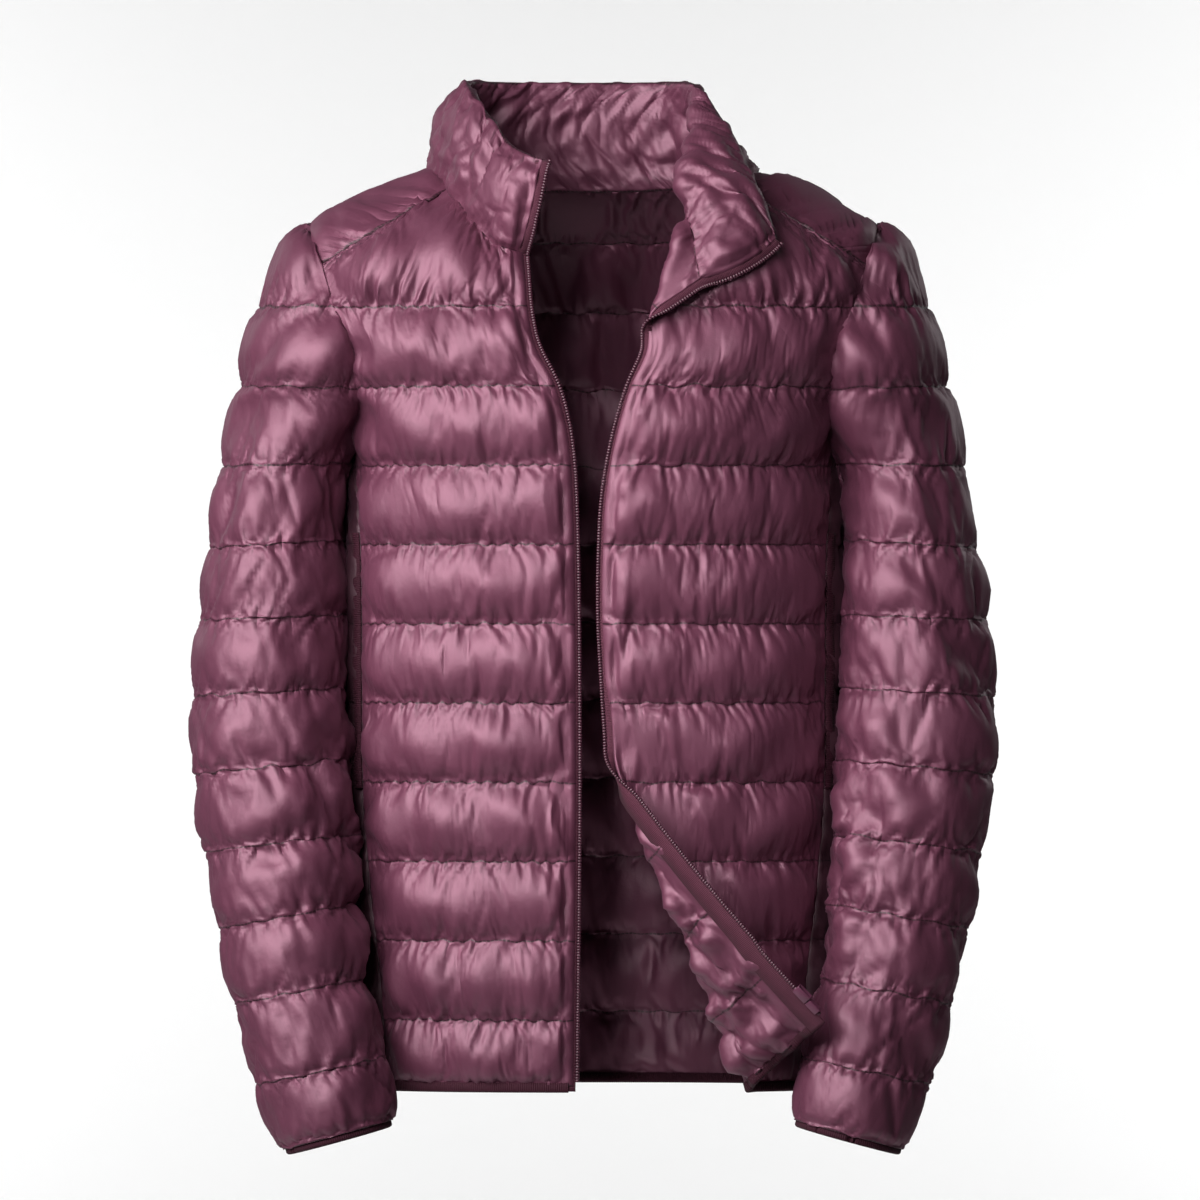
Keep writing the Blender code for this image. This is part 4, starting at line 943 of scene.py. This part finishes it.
# ---------------------------------------------------------------- collar
# One plain channel of the same cloth, standing round the neck; its left end is
# turned back with the front.
# neck seam x, side of the body, middle of the stand x y z, top edge x y z
COLLAR = [
    (-0.0545, -1, (-0.0450, -0.1110, -0.0320), (-0.0370, -0.1070, -0.0010)),
    (-0.0640, -1, (-0.0560, -0.1040, -0.0280), (-0.0490, -0.0980, 0.0040)),
    (-0.0740, -1, (-0.0690, -0.0920, -0.0210), (-0.0620, -0.0850, 0.0120)),
    (-0.0840, -1, (-0.0800, -0.0800, -0.0090), (-0.0710, -0.0700, 0.0250)),
    (-0.0960, -1, (-0.0940, -0.0600, 0.0060), (-0.0820, -0.0500, 0.0400)),
    (-0.1080, -1, (-0.1060, -0.0330, 0.0180), (-0.0900, -0.0300, 0.0530)),
    (-0.1210, 1, (-0.1120, 0.0040, 0.0310), (-0.0930, 0.0050, 0.0600)),
    (-0.1000, 1, (-0.1000, 0.0330, 0.0280), (-0.0860, 0.0330, 0.0610)),
    (-0.0600, 1, (-0.0610, 0.0520, 0.0250), (-0.0530, 0.0540, 0.0610)),
    (0.0000, 1, (0.0000, 0.0590, 0.0240), (0.0000, 0.0600, 0.0610)),
    (0.0600, 1, (0.0570, 0.0510, 0.0250), (0.0470, 0.0500, 0.0610)),
    (0.1000, 1, (0.0870, 0.0230, 0.0300), (0.0660, 0.0270, 0.0605)),
    (0.1210, 1, (0.0880, -0.0040, 0.0300), (0.0750, 0.0050, 0.0580)),
    (0.1080, -1, (0.0770, -0.0300, 0.0220), (0.0845, -0.0130, 0.0480)),
    (0.0960, -1, (0.0735, -0.0480, 0.0120), (0.0950, -0.0280, 0.0320)),
    (0.0840, -1, (0.0715, -0.0650, 0.0040), (0.1050, -0.0420, 0.0160)),
    (0.0720, -1, (0.0715, -0.0800, -0.0060), (0.1125, -0.0580, -0.0010)),
    (0.0610, -1, (0.0800, -0.0930, -0.0180), (0.1190, -0.0730, -0.0160)),
    (0.0510, -1, (0.0970, -0.1010, -0.0330), (0.1255, -0.0850, -0.0310)),
    (0.0410, -1, (0.1030, -0.1080, -0.0460), (0.1300, -0.0930, -0.0430)),
    (0.0310, -1, (0.1070, -0.1130, -0.0590), (0.1330, -0.0990, -0.0520)),
    (0.0215, -1, (0.1100, -0.1170, -0.0720), (0.1345, -0.1030, -0.0590)),
]
COLLAR_FILL = (0.0085, 0.0075)
COLLAR_LAP = 0.0015      # the stand reaches this far past the neck seam
COLLAR_ROLL = 0.0055     # its padded top edge stands this much above the fold of the cloth


def neck_seam(x, side):
    """Point of the neck seam at x, on the front or the back of the body."""
    if side < 0:
        tops = TOP_LEFT if x > 0 else TOP_RIGHT
        z = next(row[1] for row in tops if row[0] == x)
        point = body_point(x, z, -1)
        return turned(turned(point, LAPEL_FOLD), CORNER_FOLD) if x > 0 else point
    return body_point(x, dict(BACK_NECK).get(abs(x), 0.0), 1)


columns = []
for x, side, middle, top in COLLAR:
    low, mid_point, high = neck_seam(x, side), np.array(middle), np.array(top)
    high[2] += COLLAR_ROLL
    control = mid_point * 2.0 - (low + high) * 0.5
    t = (1.0 - np.arange(7) / 6.0)[:, None]
    line = low * (1 - t) ** 2 + control * (2 * t * (1 - t)) + high * t ** 2
    line[-1] -= unit(line[-2] - line[-1]) * COLLAR_LAP
    columns.append(line)
coarse = np.stack(columns, 1)
gaps = np.linalg.norm(np.diff(coarse[0], axis=0), axis=1)
collar_mid = between(between(coarse, stations([9, 6, 5, 5, 5, 6]), 0),
                     stations([max(5, int(round(g / 0.0018))) for g in gaps]), 1)
down_run = np.linalg.norm(np.diff(collar_mid, axis=0), axis=-1)
from_top = np.concatenate([np.zeros((1, collar_mid.shape[1])), np.cumsum(down_run, 0)])
to_seam = from_top[-1:] - from_top
phase = from_top / from_top[-1:]
along = row_lengths(collar_mid)
beside = seam_rise(np.minimum(along, along[:, -1:] - along) - 0.006, 0.014)
# the top edge is a soft roll, the lower edge a flat seam
full = seam_rise(from_top, 0.017) * gentle_rise(to_seam, 0.036)
# which way the stand faces is read at the back of the neck
faces = grid_faces(*collar_mid.shape[:2])
look = face_normals(collar_mid, faces)[collar_mid.shape[0] // 2]
behind = np.argmax(collar_mid[collar_mid.shape[0] // 2, :, 1])
if look[behind, 1] < 0:
    faces = faces[:, ::-1]
off_edges = seam_rise(np.minimum(from_top, to_seam), 0.02)
folds = crumpled(along, from_top, 9, 0.030, 0.09, 4)
collar_mid = collar_mid + face_normals(collar_mid, faces) * (off_edges * folds)[..., None]
_, collar_normals = padded_piece(
    "collar", collar_mid, faces, phase, np.zeros(phase.shape, int), beside, *COLLAR_FILL, 71,
    full=full, crease=0.7, spare=0.1 * np.ones(phase.shape),
    fan=lambda at, number: 0.25 * math.sin(at * 47.0),
    crush=off_edges * crumpled(along, from_top, 19, 0.017, 0.10, 4))


# ---------------------------------------------------------------- elastic bindings
# Ribbed elastic tape, darker than the cloth, folded over the hem and the cuffs
# and sewn through with one row of stitches.
BINDING_HEIGHT = 0.0050  # it hangs this far below the panels
BINDING_HALF = 0.0021   # half its thickness over all
BINDING_THICK = 0.0007  # one layer of the tape
BINDING_LAP = 0.0025    # the folded tape takes in this much of the panels


def uneven_dye(tree, shader, scale, first, second):
    """Base colour that drifts between two shades of a dye; returns its noise."""
    place = add_node(tree, "ShaderNodeTexCoord").outputs["Object"]
    uneven = add_node(tree, "ShaderNodeTexNoise", Vector=place, Scale=scale)
    shade = add_node(tree, "ShaderNodeMix", {"data_type": "RGBA"}, _0=uneven.outputs["Fac"],
                     _6=linear(first), _7=linear(second))
    tree.links.new(shade.outputs[2], shader.inputs["Base Color"])
    return uneven.outputs["Fac"]


def elastic(name, colour, rib):
    """Knitted elastic: fine ribs across the tape, no gloss."""
    material, tree, shader = new_material(name, Roughness=0.75, Sheen_Weight=0.02,
                                          Sheen_Roughness=0.5, Specular_IOR_Level=0.18)
    along = add_node(tree, "ShaderNodeAttribute", {"attribute_name": "along"}).outputs["Fac"]
    turn = add_node(tree, "ShaderNodeMath", {"operation": "MULTIPLY"}, _0=along, _1=6.2832 / rib)
    wave = add_node(tree, "ShaderNodeMath", {"operation": "SINE"}, _0=turn.outputs[0])
    uneven_dye(tree, shader, 90.0, *colour)
    ribs = add_node(tree, "ShaderNodeBump", Strength=0.5, Distance=0.0004, Height=wave.outputs[0])
    tree.links.new(ribs.outputs[0], shader.inputs["Normal"])
    return material


def band(name, path, down, normal, section, material, node, closed=False):
    """A narrow tape carried along a path; section gives its (down, out) corners.

    The section is one list of corners, or one for each point of the path.
    """
    count = np.shape(section)[-2]
    section = np.broadcast_to(np.asarray(section, float), (len(path), count, 2))
    verts = path[:, None] + down[:, None] * section[..., :1] + normal[:, None] * section[..., 1:]
    run = np.concatenate([[0.0], np.cumsum(np.linalg.norm(np.diff(path, axis=0), axis=1))])
    faces = []
    last = len(path) if closed else len(path) - 1
    for r in range(last):
        s = (r + 1) % len(path)
        for k in range(count):
            e = (k + 1) % count
            faces.append((r * count + k, r * count + e, s * count + e, s * count + k))
    if not closed:
        faces += [tuple(range(count))[::-1], tuple(range((len(path) - 1) * count, len(path) * count))]
    flat = verts.reshape(-1, 3)
    quad = np.array([f for f in faces if len(f) == 4][:count])
    n = np.cross(flat[quad[:, 2]] - flat[quad[:, 0]], flat[quad[:, 3]] - flat[quad[:, 1]])
    middle = verts[:2].reshape(-1, 3).mean(0)
    if (n * (flat[quad].mean(1) - middle)).sum() < 0:
        faces = [f[::-1] for f in faces]
    mesh = bpy.data.meshes.new(name)
    mesh.from_pydata(flat.tolist(), [], faces)
    layer = mesh.attributes.new("along", "FLOAT", "POINT")
    layer.data.foreach_set("value", np.repeat(run, count).astype(np.float32))
    mesh.shade_smooth()
    mesh.materials.append(material)
    obj = linked(name, mesh)
    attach(obj, "root")
    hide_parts(node)
    return obj, run[-1]


dark_elastic = elastic("plum_ribbed_elastic", ("2B0A17", "35101F"), 0.0016)


def binding_section():
    """Cut through a tape folded round an edge: its outer face, then its inner face."""
    h, b, t, top = BINDING_HEIGHT, BINDING_HALF, BINDING_THICK, -BINDING_LAP
    return [(top, -b), (h * 0.5, -b), (h - 0.0016, -b), (h - 0.0004, -b * 0.6), (h, 0.0),
            (h - 0.0004, b * 0.6), (h - 0.0016, b), (h * 0.5, b), (top, b),
            (top, b - t), (h * 0.5, b - t), (h - 0.0020, b - t), (h - 0.0012, 0.0),
            (h - 0.0020, t - b), (h * 0.5, t - b), (top, t - b)]


def eased(values, window):
    """Running average along a path, with both ends kept."""
    half = window // 2
    ends = np.concatenate([[values[0]] * half, values, [values[-1]] * half])
    share = np.ones(window) / window
    return np.stack([np.convolve(ends[:, k], share, "valid") for k in range(3)], -1)


def hem_path():
    """Points, downward ways and outward ways round the hem, right front to left front."""
    points, ways, outs = [], [], []
    for mid, normals, order in (
            (*fronts[-1], slice(None)),
            (side_sheets[-1][0], side_sheets[-1][1], slice(2, -2)),
            (back_mid, back_normals, slice(1, -1)),
            (side_sheets[1][0], side_sheets[1][1], slice(-3, 1, -1)),
            (*fronts[1], slice(None, None, -1))):
        points.append(mid[-1][order])
        ways.append(unit(mid[-1] - mid[-3])[order])
        outs.append(normals[-1][order])
    return [eased(np.concatenate(values), 5) for values in (points, ways, outs)]


path, down, out = hem_path()
down = unit(down)
out = unit(out - (out * down).sum(-1, keepdims=True) * down)
hem, length = band("hem_binding_tape", path, down, out, binding_section(), dark_elastic,
                   "hem_binding")
for side, name in ((-1, "cuff_binding_right"), (1, "cuff_binding_left")):
    mid, normals = sleeves[side]
    ring = mid[-1]
    down = unit(mid[-1] - mid[-4])
    mean = unit(down.mean(0))
    down = np.broadcast_to(mean, ring.shape)
    out = unit(normals[-1] - (normals[-1] * down).sum(-1, keepdims=True) * down)
    cuff, length = band(name + "_tape", ring, down, out, binding_section(), dark_elastic,
                        name, closed=True)


# ---------------------------------------------------------------- pocket welts
# A narrow binding down the front seam of each side panel covers the pocket slit.
POCKET = (-0.270, -0.462)
for side, name in ((-1, "pocket_welt_right"), (1, "pocket_welt_left")):
    mid, normals, outer = side_sheets[side]
    rows = [r for r in range(len(mid)) if POCKET[1] <= mid[r, 0, 2] <= POCKET[0]]
    path = outer[rows, 0] + normals[rows, 0] * 0.0006
    across = unit(outer[rows, 2] - outer[rows, 0])
    section = [(0.0003, -0.0006), (0.0040, -0.0007), (0.0078, -0.0006),
               (0.0084, 0.0), (0.0078, 0.0007), (0.0040, 0.0009), (0.0003, 0.0007)]
    welt, length = band(name + "_strip", path, across, normals[rows, 0], section, dark_elastic,
                        name)


# ---------------------------------------------------------------- zip
# A fine open-end coil zip: woven tapes sewn inside the front edges, with a row
# of nylon coils on each, an insertion pin, and a box and slider.
TAPE_INNER = 0.006      # tape under the cloth, from the free edge inwards
TAPE_SHOWN = 0.010      # the same where the tape lies bare on the turned corner
TAPE_OUTER = 0.0042     # tape past the free edge
TAPE_HALF = 0.0006      # half its thickness
TAPE_SUNK = 0.0032      # the bare tape lies this much further in, on the lining
TAPE_MIDDLE = 0.0001    # its middle is this far outside the cloth's mid surface
COIL_PITCH = 0.0021
COIL_OUT = 0.0015       # middle of a coil past the tape's edge
zip_tape = elastic("plum_woven_tape", ("431D2B", "502736"), 0.0012)
coil_nylon, tree, shader = new_material("plum_coil_nylon", Roughness=0.38, Specular_IOR_Level=0.6)
uneven_dye(tree, shader, 300.0, "3E1B29", "512A39")


def edge_path(side):
    """Free edge of a front and its collar end, from the hem to the collar's top."""
    mid, normals = fronts[side]
    column, inner = (-1, -3) if side > 0 else (0, 2)
    foot = mid[-1:, 0] + unit(mid[-1:, 0] - mid[-3:-2, 0]) * (BINDING_HEIGHT - 0.0006)
    points = np.concatenate([foot, mid[::-1, 0], collar_mid[::-1, column]])
    across = np.concatenate([unit(mid[-1:, 0] - mid[-1:, 2]), unit(mid[::-1, 0] - mid[::-1, 2]),
                             unit(collar_mid[::-1, column] - collar_mid[::-1, inner])])
    outs = np.concatenate([normals[-1:, 0], normals[::-1, 0], collar_normals[::-1, column]])
    keep = np.concatenate([[True], np.linalg.norm(np.diff(points, axis=0), axis=1) > 0.0008])
    points, across, outs = points[keep], across[keep], outs[keep]
    run = np.concatenate([[0.0], np.cumsum(np.linalg.norm(np.diff(points, axis=0), axis=1))])
    at = np.arange(0.0, run[-1], COIL_PITCH)
    points = np.stack([np.interp(at, run, points[:, k]) for k in range(3)], -1)
    # the tape is stiffer than the cloth and doesn't follow its puckers, only its folds
    soft = eased(points, 9)
    apart = np.linalg.norm(soft - points, axis=1, keepdims=True)
    points = points + (soft - points) / (1.0 + (apart / 0.0015) ** 4)
    across = unit(eased(np.stack([np.interp(at, run, across[:, k]) for k in range(3)], -1), 5))
    outs = eased(np.stack([np.interp(at, run, outs[:, k]) for k in range(3)], -1), 5)
    ahead = unit(np.gradient(points, axis=0))
    across = unit(across - (across * ahead).sum(-1, keepdims=True) * ahead)
    flat = unit(np.cross(across, ahead))
    sign = np.sign((flat * outs).sum(-1, keepdims=True))
    return points, across, flat * sign, ahead


for side, word in ((-1, "right"), (1, "left")):
    points, across, outs, ahead = edge_path(side)
    # on the turned corner the whole tape shows on the lining, higher up its coil side only
    bare = np.clip((-0.385 - points[:, 2]) / 0.05, 0.0, 1.0) * (side > 0)
    points = points - outs * (TAPE_SUNK * bare)[:, None]
    low, high = TAPE_MIDDLE - TAPE_HALF, TAPE_MIDDLE + TAPE_HALF
    section = [[(-inner, low), (TAPE_OUTER, low), (TAPE_OUTER + 0.0003, TAPE_MIDDLE),
                (TAPE_OUTER, high), (-inner, high)]
               for inner in TAPE_INNER + (TAPE_SHOWN - TAPE_INNER) * bare]
    tape, length = band("zip_tape_" + word + "_woven", points, across, outs, section, zip_tape,
                        "zip_tape_" + word)
    # each coil is a short flattened loop lying across the tape's edge
    loop = [(-0.0012, -0.0009), (0.0004, -0.0012), (0.0016, -0.0006), (0.0016, 0.0006),
            (0.0004, 0.0012), (-0.0012, 0.0009)]
    verts, faces = [], []
    for p, a, n, t in zip(points[4:], across[4:], outs[4:], ahead[4:]):
        base = len(verts)
        centre = p + a * (TAPE_OUTER + COIL_OUT) + n * TAPE_MIDDLE
        for push, size in ((-0.0008, 0.8), (-0.0003, 1.0), (0.0003, 1.0), (0.0008, 0.8)):
            verts += [centre + t * push + a * x * size + n * y * size for x, y in loop]
        for ring in range(3):
            for k in range(6):
                e = (k + 1) % 6
                faces.append((base + ring * 6 + k, base + ring * 6 + e,
                              base + ring * 6 + 6 + e, base + ring * 6 + 6 + k))
        faces += [tuple(base + k for k in range(5, -1, -1)), tuple(base + 18 + k for k in range(6))]
    mesh = bpy.data.meshes.new("zip_teeth_" + word + "_coils")
    mesh.from_pydata([tuple(v) for v in verts], [], faces)
    mesh.materials.append(coil_nylon)
    coils = linked(mesh.name, mesh)
    bpy.ops.object.select_all(action="DESELECT")
    bpy.context.view_layer.objects.active = coils
    coils.select_set(True)
    bpy.ops.object.mode_set(mode="EDIT")
    bpy.ops.mesh.select_all(action="SELECT")
    bpy.ops.mesh.normals_make_consistent(inside=False)
    bpy.ops.object.mode_set(mode="OBJECT")
    mesh.shade_smooth()
    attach(coils, "root")
    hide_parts("zip_teeth_" + word)

moulded, tree, shader = new_material("plum_moulded_acetal", Roughness=0.42, Specular_IOR_Level=0.5)
grain = uneven_dye(tree, shader, 900.0, "4A2136", "5A2A41")
rough = add_node(tree, "ShaderNodeBump", Strength=0.3, Distance=0.0002, Height=grain)
tree.links.new(rough.outputs[0], shader.inputs["Normal"])


def seat_of(node):
    """Sizes of a hard piece's place, longest first, and the matrix that takes it there."""
    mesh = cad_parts[node].data
    points = np.array([vertex.co[:] for vertex in mesh.vertices])
    ways = np.linalg.svd(points - points.mean(0), full_matrices=False)[2]
    if np.linalg.det(ways) < 0:
        ways[2] *= -1.0
    local = points @ ways.T
    low, high = local.min(0), local.max(0)
    matrix = Matrix([[*ways[:, row], 0.0] for row in range(3)] + [[0.0, 0.0, 0.0, 1.0]])
    return high - low, Matrix.Translation(Vector(ways.T @ ((low + high) / 2.0))) @ matrix


def faces_facing(axis, sign):
    """Select the faces of the mesh in edit mode that look along an axis."""
    mesh = bpy.context.active_object.data
    bpy.ops.mesh.select_mode(type="FACE")
    bpy.ops.mesh.select_all(action="DESELECT")
    bpy.ops.object.mode_set(mode="OBJECT")
    for polygon in mesh.polygons:
        polygon.select = polygon.normal[axis] * sign > 0.99
    bpy.ops.object.mode_set(mode="EDIT")


for node in ("zip_pin", "zip_box", "zip_slider"):
    size, place_there = seat_of(node)
    bpy.ops.object.select_all(action="DESELECT")
    bpy.ops.mesh.primitive_cube_add(size=1.0)
    piece = bpy.context.active_object
    piece.name = node + "_moulded"
    bpy.ops.object.mode_set(mode="EDIT")
    if node == "zip_pin":
        # a rod with a slim tip that starts into the slider
        bpy.ops.transform.resize(value=(0.8 * size[0], size[1], size[2]))
        bpy.ops.transform.translate(value=(-0.1 * size[0], 0.0, 0.0))
        faces_facing(0, 1)
        bpy.ops.mesh.extrude_region_move(TRANSFORM_OT_translate={"value": (0.2 * size[0], 0.0, 0.0)})
        bpy.ops.transform.resize(value=(1.0, 0.6, 0.6))
    elif node == "zip_box":
        # a block with the pin's socket in its upper end
        bpy.ops.transform.resize(value=tuple(size))
        faces_facing(0, 1)
        bpy.ops.mesh.inset(thickness=0.18 * size[2], depth=-0.35 * size[0])
    else:
        # two plates with a slot down each side, and the lug that a pull hangs from
        bpy.ops.transform.resize(value=(size[0], size[1], 0.78 * size[2]))
        bpy.ops.transform.translate(value=(0.0, 0.0, -0.11 * size[2]))
        for sign in (-1, 1):
            faces_facing(1, sign)
            bpy.ops.mesh.inset(thickness=0.2 * size[2], depth=-0.16 * size[1])
        faces_facing(2, 1)
        bpy.ops.mesh.inset(thickness=0.3 * size[1])
        bpy.ops.mesh.extrude_region_move(TRANSFORM_OT_translate={"value": (0.0, 0.0, 0.22 * size[2])})
    bpy.ops.mesh.select_all(action="SELECT")
    bpy.ops.mesh.bevel(offset=0.00025, segments=2, affect="EDGES")
    bpy.ops.mesh.normals_make_consistent(inside=False)
    bpy.ops.object.mode_set(mode="OBJECT")
    piece.data.transform(place_there)
    bpy.ops.object.shade_smooth_by_angle(angle=math.radians(40.0))
    piece.data.materials.append(moulded)
    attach(piece, "root")
    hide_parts(node)


# ---------------------------------------------------------------- filling
# Down pushes the cloth out between its stitches. Both skins of a quilted piece are
# cut a little full, so they buckle beside the rows: a short cloth simulation does
# this, held at the stitches, the seams and the folds, for all the pieces at once.
SPARE_LEAST = 0.050     # the cloth is cut this much longer than its place
SPARE_MOST = 0.20       # and this much where a piece's spare is 1
FILLING_FRAMES = 6
for sewn in quilted:
    piece = sewn["piece"]
    for name, weights in (("sewn", sewn["held"]), ("spare", sewn["spare"])):
        group = piece.vertex_groups.new(name=name)
        steps = np.rint(np.clip(weights, 0.0, 1.0) * 8.0).astype(int)
        for step in range(1, 9):
            group.add(np.nonzero(steps == step)[0].tolist(), step / 8.0, "REPLACE")
    cloth = piece.modifiers.new("filling", "CLOTH")
    settings = cloth.settings
    settings.quality = 5
    settings.mass = 0.3
    settings.tension_stiffness = settings.compression_stiffness = 15.0
    settings.shear_stiffness = 4.0
    settings.bending_stiffness = 0.06
    settings.vertex_group_mass = "sewn"
    settings.pin_stiffness = 50.0
    settings.vertex_group_shrink = "spare"
    settings.shrink_min = -SPARE_LEAST
    settings.shrink_max = -SPARE_MOST
    settings.use_pressure = True
    settings.uniform_pressure_force = 3.0
    settings.effector_weights.gravity = 0.0
    cloth.collision_settings.use_collision = False
    cloth.collision_settings.use_self_collision = False
for frame_number in range(1, FILLING_FRAMES + 1):
    bpy.context.scene.frame_set(frame_number)
settled = bpy.context.evaluated_depsgraph_get()
for sewn in quilted:
    piece = sewn["piece"]
    shape = piece.evaluated_get(settled).data
    points = np.empty(len(shape.vertices) * 3)
    shape.vertices.foreach_get("co", points)
    points = points.reshape(-1, 3)
    # no point swells past its neighbours' place or sinks through to the other skin
    height = ((points - sewn["mid"]) * sewn["way"]).sum(-1)
    settled_at = np.clip(height, NEAREST, sewn["top"])
    limited = np.clip(settled_at + sewn["creases"], CREASED_TO, None)
    points += sewn["way"] * (limited - height)[:, None]
    sewn["points"] = points
for sewn in quilted:
    piece = sewn["piece"]
    piece.modifiers.clear()
    piece.vertex_groups.clear()
    piece.data.vertices.foreach_set("co", sewn["points"].ravel())
    piece.data.update()
bpy.context.scene.frame_set(1)


# ---------------------------------------------------------------- stage, light, camera
# A plain pale sweep far behind and below, lit on its own; one large soft key from
# the viewer's left with weak lights round it, and a long lens square on to the front.
def sweep():
    """Floor and backdrop in one curved sheet."""
    profile = [(-0.9, -1.7), (20.0, -1.7)]
    profile += [(20.0 + 1.2 * math.sin(a), -0.5 - 1.2 * math.cos(a))
                for a in np.linspace(0.1, math.pi / 2, 12)]
    profile += [(21.2, 2.6)]
    verts = [(x, y, z) for y, z in profile for x in (-2.4, 2.4)]
    faces = [(2 * k, 2 * k + 1, 2 * k + 3, 2 * k + 2) for k in range(len(profile) - 1)]
    mesh = bpy.data.meshes.new("sweep")
    mesh.from_pydata(verts, [], faces)
    mesh.shade_smooth()
    obj = linked("sweep", mesh)
    material, _, _ = new_material("pale_paper", Roughness=0.9, Base_Color=linear("F2F2F2"))
    mesh.materials.append(material)


def area_light(name, place, aim, size, power):
    """A rectangular light at a place, aimed at a point; size in metres, power in watts."""
    light = bpy.data.lights.new(name, "AREA")
    light.shape = "RECTANGLE"
    light.size, light.size_y = size
    light.energy = power
    obj = linked(name, light)
    obj.location = place
    way = np.array(aim, float) - np.array(place, float)
    obj.rotation_euler = Vector(way).to_track_quat("-Z", "Y").to_euler()


sweep()
area_light("key", (-1.32, -1.36, 0.62), (-0.05, 0, -0.36), (1.9, 1.6), 104.0)
area_light("fill", (2.6, -2.4, 0.8), (0, 0, -0.4), (1.0, 1.6), 0.5)
area_light("backdrop_left", (-3.4, 18.2, 0.2), (0.0, 21.2, -0.95), (1.6, 2.4), 135.0)
area_light("backdrop_right", (3.4, 18.2, 0.2), (0.0, 21.2, -0.95), (1.6, 2.4), 135.0)
# two weak lights behind the jacket, out of the camera's view, so that the back can be seen
area_light("back_left", (2.1, 2.2, 0.9), (0, 0, -0.3), (1.2, 1.6), 10.0)
area_light("back_right", (-2.1, 2.2, 0.9), (0, 0, -0.3), (1.2, 1.6), 7.0)
# two soft spots lift the front on the viewer's right
for height in (-0.24, -0.50):
    spot = bpy.data.lights.new("chest", "SPOT")
    spot.energy = 185.0
    spot.spot_size = math.radians(10.0)
    spot.spot_blend = 1.0
    spot.shadow_soft_size = 0.25
    spot_obj = linked("chest", spot)
    spot_obj.location = (-0.25, -2.3, 0.45)
    way = Vector((0.075, -0.12, height)) - spot_obj.location
    spot_obj.rotation_euler = way.to_track_quat("-Z", "Y").to_euler()
world = bpy.data.worlds.new("soft_room")
world.use_nodes = True
world.node_tree.nodes["Background"].inputs["Color"].default_value = (1, 1, 1, 1)
world.node_tree.nodes["Background"].inputs["Strength"].default_value = 0.06
bpy.context.scene.world = world

camera = bpy.data.cameras.new("camera")
camera.sensor_width = 36.0
# 11.95 m from the middle of the jacket the frame is 0.888 m wide
camera.lens = 36.0 * 11.95 / 0.888
camera_obj = linked("camera", camera)
camera_obj.location = (0.0048, -12.0, -0.3197)
camera_obj.rotation_euler = (math.radians(90.0), 0.0, 0.0)
camera.clip_end = 60.0
bpy.context.scene.camera = camera_obj
bpy.context.scene.view_settings.view_transform = "Standard"
